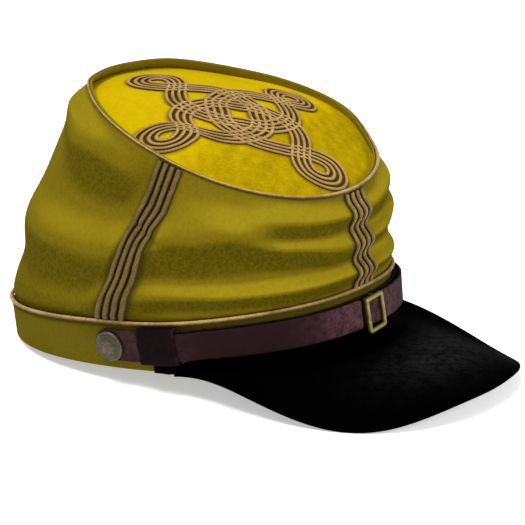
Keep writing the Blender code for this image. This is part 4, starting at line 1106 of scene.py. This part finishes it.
# ---------------------------------------------------------------- leather
def peak_edge(turn):
    """The line of the peak's edge, by the turn round its blade."""
    s, c = np.sin(turn), np.cos(turn)
    across = PEAK.half_width * np.sign(s) * np.abs(s) ** (2.0 / PEAK.power)
    ahead = np.abs(c) ** (2.0 / PEAK.power)
    x = across * (1.0 + PEAK.widen * ahead ** PEAK.fullness)
    forward = PEAK.reach * ahead
    arch = PEAK.arch * ahead * (1.0 - np.abs(x / PEAK.half_width) ** PEAK.arch_power)
    z = PEAK.tail_z + PEAK.lift * forward - PEAK.sag * forward ** 2 + arch
    return np.stack([-x, -PEAK.start - forward, z], axis=-1)


def make_peak():
    """The peak: a leather blade with a rounded edge and a turned flange."""
    even = np.linspace(-1.0, 1.0, STEPS.peak)
    turn = (1.2 * even - 0.2 * even ** 3) * PI / 2.0
    share = np.sin(turn) * (1.0 - PEAK.even) + turn / (PI / 2.0) * PEAK.even
    angle = share * math.radians(PEAK.tail_angle)
    off_middle = np.abs(np.degrees(angle))
    band_top = oval("band_top", angle)[:, 2]

    def beside_band(z, away):
        return band_wall(angle, z / band_top, -away)

    seam = beside_band(PEAK.seam_z, PEAK.clear + PEAK.thick)
    out = outward(BAND, angle, np.zeros(len(angle)))
    up = UPRIGHT
    edge = peak_edge(turn)
    blade_share = smooth_step(((edge - seam) * out).sum(axis=1) / PEAK.tail_reach)
    blade = blade_share[:, None]
    end_drop, drop_before = PEAK.tail_drop
    before_end = smooth_step((PEAK.tail_angle - off_middle) / PEAK.tail_span)
    drop = end_drop + (drop_before - end_drop) * before_end
    edge = edge * blade + (seam - up * drop[:, None]) * (1.0 - blade)
    low, high = PEAK.flange_turn
    tail_share = smooth_step((off_middle - low) / (high - low))
    flange_z = band_top - (PEAK.flange[0] * (1.0 - tail_share) + PEAK.flange[1] * tail_share)
    parts = np.concatenate([np.linspace(0.0, 0.96, 34), [0.975, 0.99, 1.0]])
    upper = np.stack([seam * (1.0 - part) + edge * part
                      + PEAK.camber * math.sin(PI * part) * blade * up for part in parts])
    normal = unit(np.cross(np.gradient(upper, axis=1), np.gradient(upper, axis=0)))
    normal *= np.sign((normal * (out + up)).sum(axis=2, keepdims=True))
    ahead = unit(upper[-1] - upper[-5])
    half = PEAK.thick / 2.0
    core = upper - normal * half
    near = (turn - PEAK_HIGHLIGHT.turn) / PEAK_HIGHLIGHT.turn_half
    peak = Rows()

    def add_face(index, side):
        """A line along the upper (+1) or the lower face (-1), drawn in toward the edge."""
        part = parts[index]
        shrink = smooth_step((part - 0.9) / 0.1) * half * 0.9
        # A painted highlight on the blade's upper face; elsewhere the peak stays black.
        painted_highlight = bell(near, (part - PEAK_HIGHLIGHT.part) / PEAK_HIGHLIGHT.part_half)
        peak.add(core[index] + normal[index] * (half * side) - ahead * shrink,
                 edge=smooth_step((part - 0.94) / 0.05), shade=1.0 - painted_highlight * (side > 0))

    crest = beside_band(flange_z, PEAK.clear + PEAK.thick)
    for row in (crest - out * 0.5, crest - out * 0.1 - up * 0.15, crest - up * 0.5):
        peak.add(row, edge=0.4, shade=1.0)
    start = 5
    for share in np.linspace(0.0, 1.0, 9)[:-1]:
        peak.add((seam * 0.25 + crest * 0.75) * (1.0 - share) ** 2
                 + seam * 2.0 * share * (1.0 - share) + upper[start] * share ** 2,
                 edge=0.1, shade=1.0)
    for index in range(start, len(parts)):
        add_face(index, 1)
    for spin in np.linspace(0.0, PI, 7)[1:-1]:
        peak.add(core[-1] + (normal[-1] * math.cos(spin) + ahead * math.sin(spin)) * half
                 - ahead * half, edge=1.0, shade=1.0)
    for index in range(len(parts) - 1, 1, -1):
        add_face(index, -1)
    for z in (PEAK.seam_z - PEAK.thick * blade_share, flange_z):
        peak.add(beside_band(z, PEAK.clear), edge=0.0, shade=1.0)
    build("leather_peak", [peak.tube(False)], PEAK_LEATHER, ["visor"], sharp=60.0)


def strap_section(width):
    """A strap's section: height and distance from its inner face, with rounded edges."""
    half = width / 2.0
    section = []
    for sign, face in ((1, 1), (-1, 1), (-1, 0), (1, 0)):
        turns = np.linspace(0.0, PI / 2.0, 5)
        for turn in turns if (sign > 0) == (face > 0) else turns[::-1]:
            inset = STRAP.rounding * (1.0 - math.sin(turn))
            height = sign * (half - STRAP.rounding * (1.0 - math.cos(turn)))
            section.append((height, STRAP.thick - inset if face else inset))
        if (sign, face) == (1, 1):
            flat = half - STRAP.rounding
            section += [(height, STRAP.thick) for height in np.linspace(flat, -flat, 9)[1:-1]]
    return section


def strap_mesh(name, start, end, width, middle, inner, look, node, round_end, steps):
    """A strap round the band between two angles, square at its start."""
    pace = np.linalg.norm(oval("band_top", end + 0.01) - oval("band_top", end - 0.01)) / 0.02
    half = width / 2.0
    turns = np.linspace(0.0, 1.0, 12)[1:] * PI / 2.0 * 0.97
    square = 1.0 - (1.0 - np.cos(turns)) * STRAP.end_round / half
    way = np.sign(end - start)
    square_past = way * (np.sin(turns) * STRAP.end_round / pace)
    if round_end:
        narrow = np.cos(turns)
        past = way * (np.sin(turns) * (half * (1.0 + STRAP.end_widens)) / pace)
    else:
        narrow, past = square, square_past
    angle = np.concatenate([(start - square_past)[::-1], np.linspace(start, end, steps + 1),
                            end + past])
    scale = np.concatenate([square[::-1], np.ones(steps + 1), narrow])
    gap = inner(angle)
    uneven = 0.12 * soft_waves(angle * 90.0, angle * 0.0, 21, 9, 0.05, 0.3)
    off_middle = np.abs(np.degrees(angle))
    scale = scale * (1.0 + STRAP.end_widens * smooth_step((off_middle - STRAP.widens_start)
                                                              / STRAP.widens_span))
    shade = STRAP_SHADE.most * smooth_step((off_middle - STRAP_SHADE.start) / STRAP_SHADE.span)
    lighter = smooth_step((off_middle - STRAP_SHADE.less_start) / STRAP_SHADE.less_span)
    shade = shade * (1.0 - STRAP_SHADE.less * lighter)
    strap = Rows()
    for height, depth in strap_section(width):
        on_face = depth > STRAP.thick - 0.01
        groove = 0.16 * bell((abs(height) - (half - 1.5)) / 0.30) if on_face else 0.0
        near_edge = smooth_step((abs(height) - (half - 0.8)) / 0.7)
        strap.add(strap_point(angle, middle + height * scale,
                              gap + depth - groove + uneven * (depth / STRAP.thick)),
                  edge=max(near_edge, groove * 3.0), shade=shade)
    build(name, [strap.tube(False)], look, [node], sharp=55.0)


def make_straps():
    button = math.radians(STRAP.button_angle)
    for name, start, end in (("strap_long", STRAP.long_from, button),
                             ("strap_short", STRAP.short_from, -button)):
        strap_mesh(name, math.radians(start), end, STRAP.width, STRAP.shift, strap_gap,
                   STRAP_LEATHER, "chin_strap", True, STEPS.strap)
    under = math.radians(UNDER_STRAP.angle)
    strap_mesh("strap_under", -under, under, UNDER_STRAP.width, UNDER_STRAP.shift, under_gap,
               DARK_LEATHER, "chin_strap_under", False, STEPS.under_strap)


def make_keeper():
    """A soft leather sleeve with rounded corners and worn edges."""
    low, high = (math.radians(angle) for angle in KEEPER.angles)
    stations = np.concatenate([[0.0, 0.012, 0.035], np.linspace(0.06, 0.94, 22),
                               [0.965, 0.988, 1.0]])
    angle = low + (high - low) * stations
    face = strap_gap(angle) + STRAP.thick + GAP
    lip = np.where((stations < 0.03) | (stations > 0.97), KEEPER.lip, 0.0)
    worn = np.where((stations < 0.05) | (stations > 0.95), KEEPER.worn, 0.0)
    keeper = Rows()
    for inside, shrink in ((0.0, lip), (KEEPER.wall, lip * -0.2)):
        half = KEEPER.height / 2.0 - inside
        bend = max(KEEPER.rounding - inside, 0.35)
        for sign, is_far in ((1, 1), (1, 0), (-1, 0), (-1, 1)):
            for turn in np.linspace(0.0, PI / 2.0, 6):
                a, b = bend * (1.0 - math.sin(turn)), bend * (1.0 - math.cos(turn))
                if (sign > 0) != bool(is_far):
                    a, b = b, a
                depth = GAP + inside + b + shrink * 0.5
                if is_far:
                    sag = KEEPER.sag * np.sin(stations * PI)
                    depth = face + KEEPER.wall - inside - b + sag - shrink
                height = sign * (half - a)
                keeper.add(strap_point(angle + KEEPER.skew * height,
                                       height - sign * shrink * 0.6, depth), edge=worn, shade=0.0)
    ring, _, marks = keeper.tube(False)
    total = ring.shape[1]
    count = total // 2
    faces = []
    for side in range(count):
        across = (side + 1) % count
        for step in range(len(angle) - 1):
            for first in (step * total, step * total + count):
                faces.append([first + side, first + across, first + total + across,
                              first + total + side])
        for end in (0, (len(angle) - 1) * total):
            faces.append([end + side, end + across, end + count + across, end + count + side])
    build_mesh("leather_keeper", ring.reshape(-1, 3), faces, DARK_LEATHER, ["strap_keeper"],
               marks, sharp=60.0, mend=True)


# ---------------------------------------------------------------- brass
def make_buckle():
    """The buckle: a rounded frame, its back bar and the two legs that carry it."""
    zero = np.zeros(1)
    face = strap_gap(zero) + STRAP.thick
    origin = strap_point(zero, zero, face)[0]
    up = unit(strap_point(zero, zero + 1.0, face)[0] - origin)
    across = LEFT
    out = np.cross(across, up)
    c, s = math.cos(BUCKLE.turn), math.sin(BUCKLE.turn)
    frame_across, frame_up = across * c + up * s, up * c - across * s
    middle = origin - up * BUCKLE.drop + out * (BUCKLE.clear + BUCKLE.depth / 2.0)
    path = []
    normals = []
    for corner, (sx, sz) in enumerate(((1, 1), (-1, 1), (-1, -1), (1, -1))):
        centre = np.array([sx * (BUCKLE.width - BUCKLE.bar), sz * (BUCKLE.height - BUCKLE.bar)])
        centre = centre / 2.0 - np.array([sx, sz]) * BUCKLE.rounding
        for turn in (corner + np.arange(7) / 6.0) * PI / 2.0:
            normals.append([math.cos(turn), math.sin(turn)])
            path.append(centre + BUCKLE.rounding * np.array(normals[-1]))
    frame_bar = Rows()
    for turn in circle(16):
        c, s = math.cos(turn), math.sin(turn)
        w = BUCKLE.bar / 2.0 * np.sign(c) * abs(c) ** 0.55
        d = BUCKLE.depth / 2.0 * np.sign(s) * abs(s) ** 0.55
        spot = np.array(path) + np.array(normals) * w
        frame_bar.add(middle + spot[:, :1] * frame_across + spot[:, 1:] * frame_up + out * d,
                      relief=0.35 + 0.6 * max(0.0, s))
    back = -(STRAP.thick + GAP + BUCKLE.back_clear + BUCKLE.back_bar / 2.0)
    front = BUCKLE.clear + 0.3
    high, low = BUCKLE.legs
    bends = np.array([(high, front), (high, back), (low, back), (low, front)])
    part = np.arange(25) / 8.0
    spine = np.stack([np.interp(part, np.arange(4), axis) for axis in bends.T], axis=1)
    smooth = spine.copy()
    smooth[1:-1] = (spine[:-2] + 2.0 * spine[1:-1] + spine[2:]) / 4.0
    along = unit(np.gradient(smooth, axis=0))
    back_bar = Rows()
    for turn in circle(10):
        n = BUCKLE.back_bar / 2.0 * math.sin(turn)
        z = smooth[:, 0] - along[:, 1] * n
        y = smooth[:, 1] + along[:, 0] * n
        back_bar.add(origin + BUCKLE.back_half * math.cos(turn) * across + z[:, None] * up
                     + y[:, None] * out, relief=0.3)
    build("brass_buckle", [frame_bar.tube(True), back_bar.tube(False)], BRASS, ["buckle"],
          sharp=70.0, mend=True)


def button_axis(side):
    """Where a button sits on the strap, and the way that it faces."""
    angle = np.array([side * math.radians(BUTTON.angle)])
    face = strap_gap(angle) + STRAP.thick
    drop = np.full(1, -BUTTON.drop)
    seat = strap_point(angle, drop, face)[0]
    base = strap_point(angle, drop, np.zeros(1))[0]
    high = strap_point(angle, drop + 1.0, face)[0]
    return seat, unit(np.cross(np.cross(high - seat, seat - base), high - seat))


def button_relief(share, turn):
    """What stands on the dome: a rolled rim, a ring, and a plain eight-petalled rosette."""
    petals = np.abs(np.cos(turn * ROSETTE.petals / 2.0)) ** 0.6
    reach = ROSETTE.short + ROSETTE.tips * petals
    flower = smooth_step((reach - share) / 0.07) * smooth_step((share - ROSETTE.start) / 0.05)
    vein = 1.0 - ROSETTE.vein * bell((petals - 1.0) / 0.16)
    rings = sum(height * bell((share - at) / half) for at, half, height in BUTTON_RINGS.values())
    return rings + ROSETTE.height * flower * vein


def make_buttons():
    """Domed buttons on their posts."""
    turn = circle(STEPS.button)
    post = -(STRAP.thick + GAP + BAND_FELT + 1.2)
    outline = ((BUTTON.shank, post), (BUTTON.shank, GAP + 0.1), (BUTTON.radius * 0.9, GAP),
               (BUTTON.radius * 0.975, GAP + 0.2), (BUTTON.radius, GAP + 0.55),
               (BUTTON.radius * 0.99, GAP + 0.9))
    for name, side in (("right", 1.0), ("left", -1.0)):
        seat, out = button_axis(side)
        across = unit(np.cross(out, UPRIGHT))
        rim = np.cos(turn)[:, None] * across + np.sin(turn)[:, None] * np.cross(across, out)
        button = Rows()
        for radius, height in outline:
            button.add(seat + rim * radius + out * height, relief=0.4)
        for share in np.linspace(0.965, 0.02, 44):
            relief = button_relief(share, turn)
            height = GAP + BUTTON.edge + BUTTON.dome * (1.0 - share ** 2) + relief
            button.add(seat + rim * (BUTTON.radius * share) + out * height[:, None],
                       relief=np.clip(0.28 + relief * 1.5, 0.0, 1.0))
        build(f"brass_button_{name}", [button.tube(False, 0)], BUTTON_BRASS, [f"button_{name}"])


# ---------------------------------------------------------------- stage
def placed(axes, spot):
    """The matrix of an object at a spot, from its axes to the right, up and back."""
    return Matrix([[*(float(axis[row]) for axis in axes), float(spot[row])]
                   for row in range(3)] + [[0.0, 0.0, 0.0, 1.0]])


def make_stage():
    """A pale floor, faintly lit from within like a light table, soft lights and the camera."""
    mesh = bpy.data.meshes.new("floor")
    mesh.from_pydata([(x * FLOOR_HALF, y * FLOOR_HALF, 0.0)
                      for x, y in ((-1, -1), (1, -1), (1, 1), (-1, 1))], [], [(0, 1, 2, 3)])
    pale = Graph("pale_floor")
    mesh.materials.append(pale.finish(
        Base_Color=pale.mix(pale.noise(3.0), (0.86, 0.86, 0.87), (0.90, 0.90, 0.91)),
        Roughness=0.8, Emission_Color=(1.0, 1.0, 1.0), Emission_Strength=FLOOR_GLOW))
    show("floor", mesh)

    scene = bpy.context.scene
    scene.world = bpy.data.worlds.new("studio")
    scene.world.use_nodes = True
    background = scene.world.node_tree.nodes["Background"]
    background.inputs["Color"].default_value = (1.0, 1.0, 1.0, 1.0)
    background.inputs["Strength"].default_value = WORLD_GLOW
    scene.view_settings.view_transform = "Standard"

    turn, rise, roll = (math.radians(value) for value in (CAMERA.turn, CAMERA.rise, CAMERA.roll))
    right = np.array([math.cos(turn), math.sin(turn), 0.0])
    back = np.array([math.sin(turn) * math.cos(rise), -math.cos(turn) * math.cos(rise),
                     math.sin(rise)])
    up = np.cross(back, right)
    target = right * CAMERA.right + up * CAMERA.up + UPRIGHT * CAMERA.height
    axes = turned([math.cos(roll) * right + math.sin(roll) * up,
                   math.cos(roll) * up - math.sin(roll) * right, back])
    data = bpy.data.cameras.new("camera")
    data.sensor_fit = "HORIZONTAL"
    data.sensor_width = CAMERA.film
    data.lens = CAMERA.focal / CAMERA.pixels * CAMERA.film
    data.clip_end = 50.0
    scene.camera = show("camera", data)
    scene.camera.matrix_world = placed(axes, to_world(target + back * CAMERA.distance))

    for name, (away, size, power) in LIGHTS.items():
        light = bpy.data.lights.new(name, "AREA")
        light.size = size
        light.energy = power
        spot = (axes[0] * away[0] + UPRIGHT * away[1]
                + np.array([*axes[2][:2], 0.0]) * away[2])
        behind = unit(spot - UPRIGHT * LIGHT_AIM)
        beside = unit(np.cross(UPRIGHT, behind))
        show(name, light).matrix_world = placed((beside, np.cross(behind, beside), behind), spot)


make_stage()
make_band()
make_crown()
make_top()
make_cords()
make_braid_sets()
make_knot()
make_peak()
make_straps()
make_keeper()
make_buckle()
make_buttons()
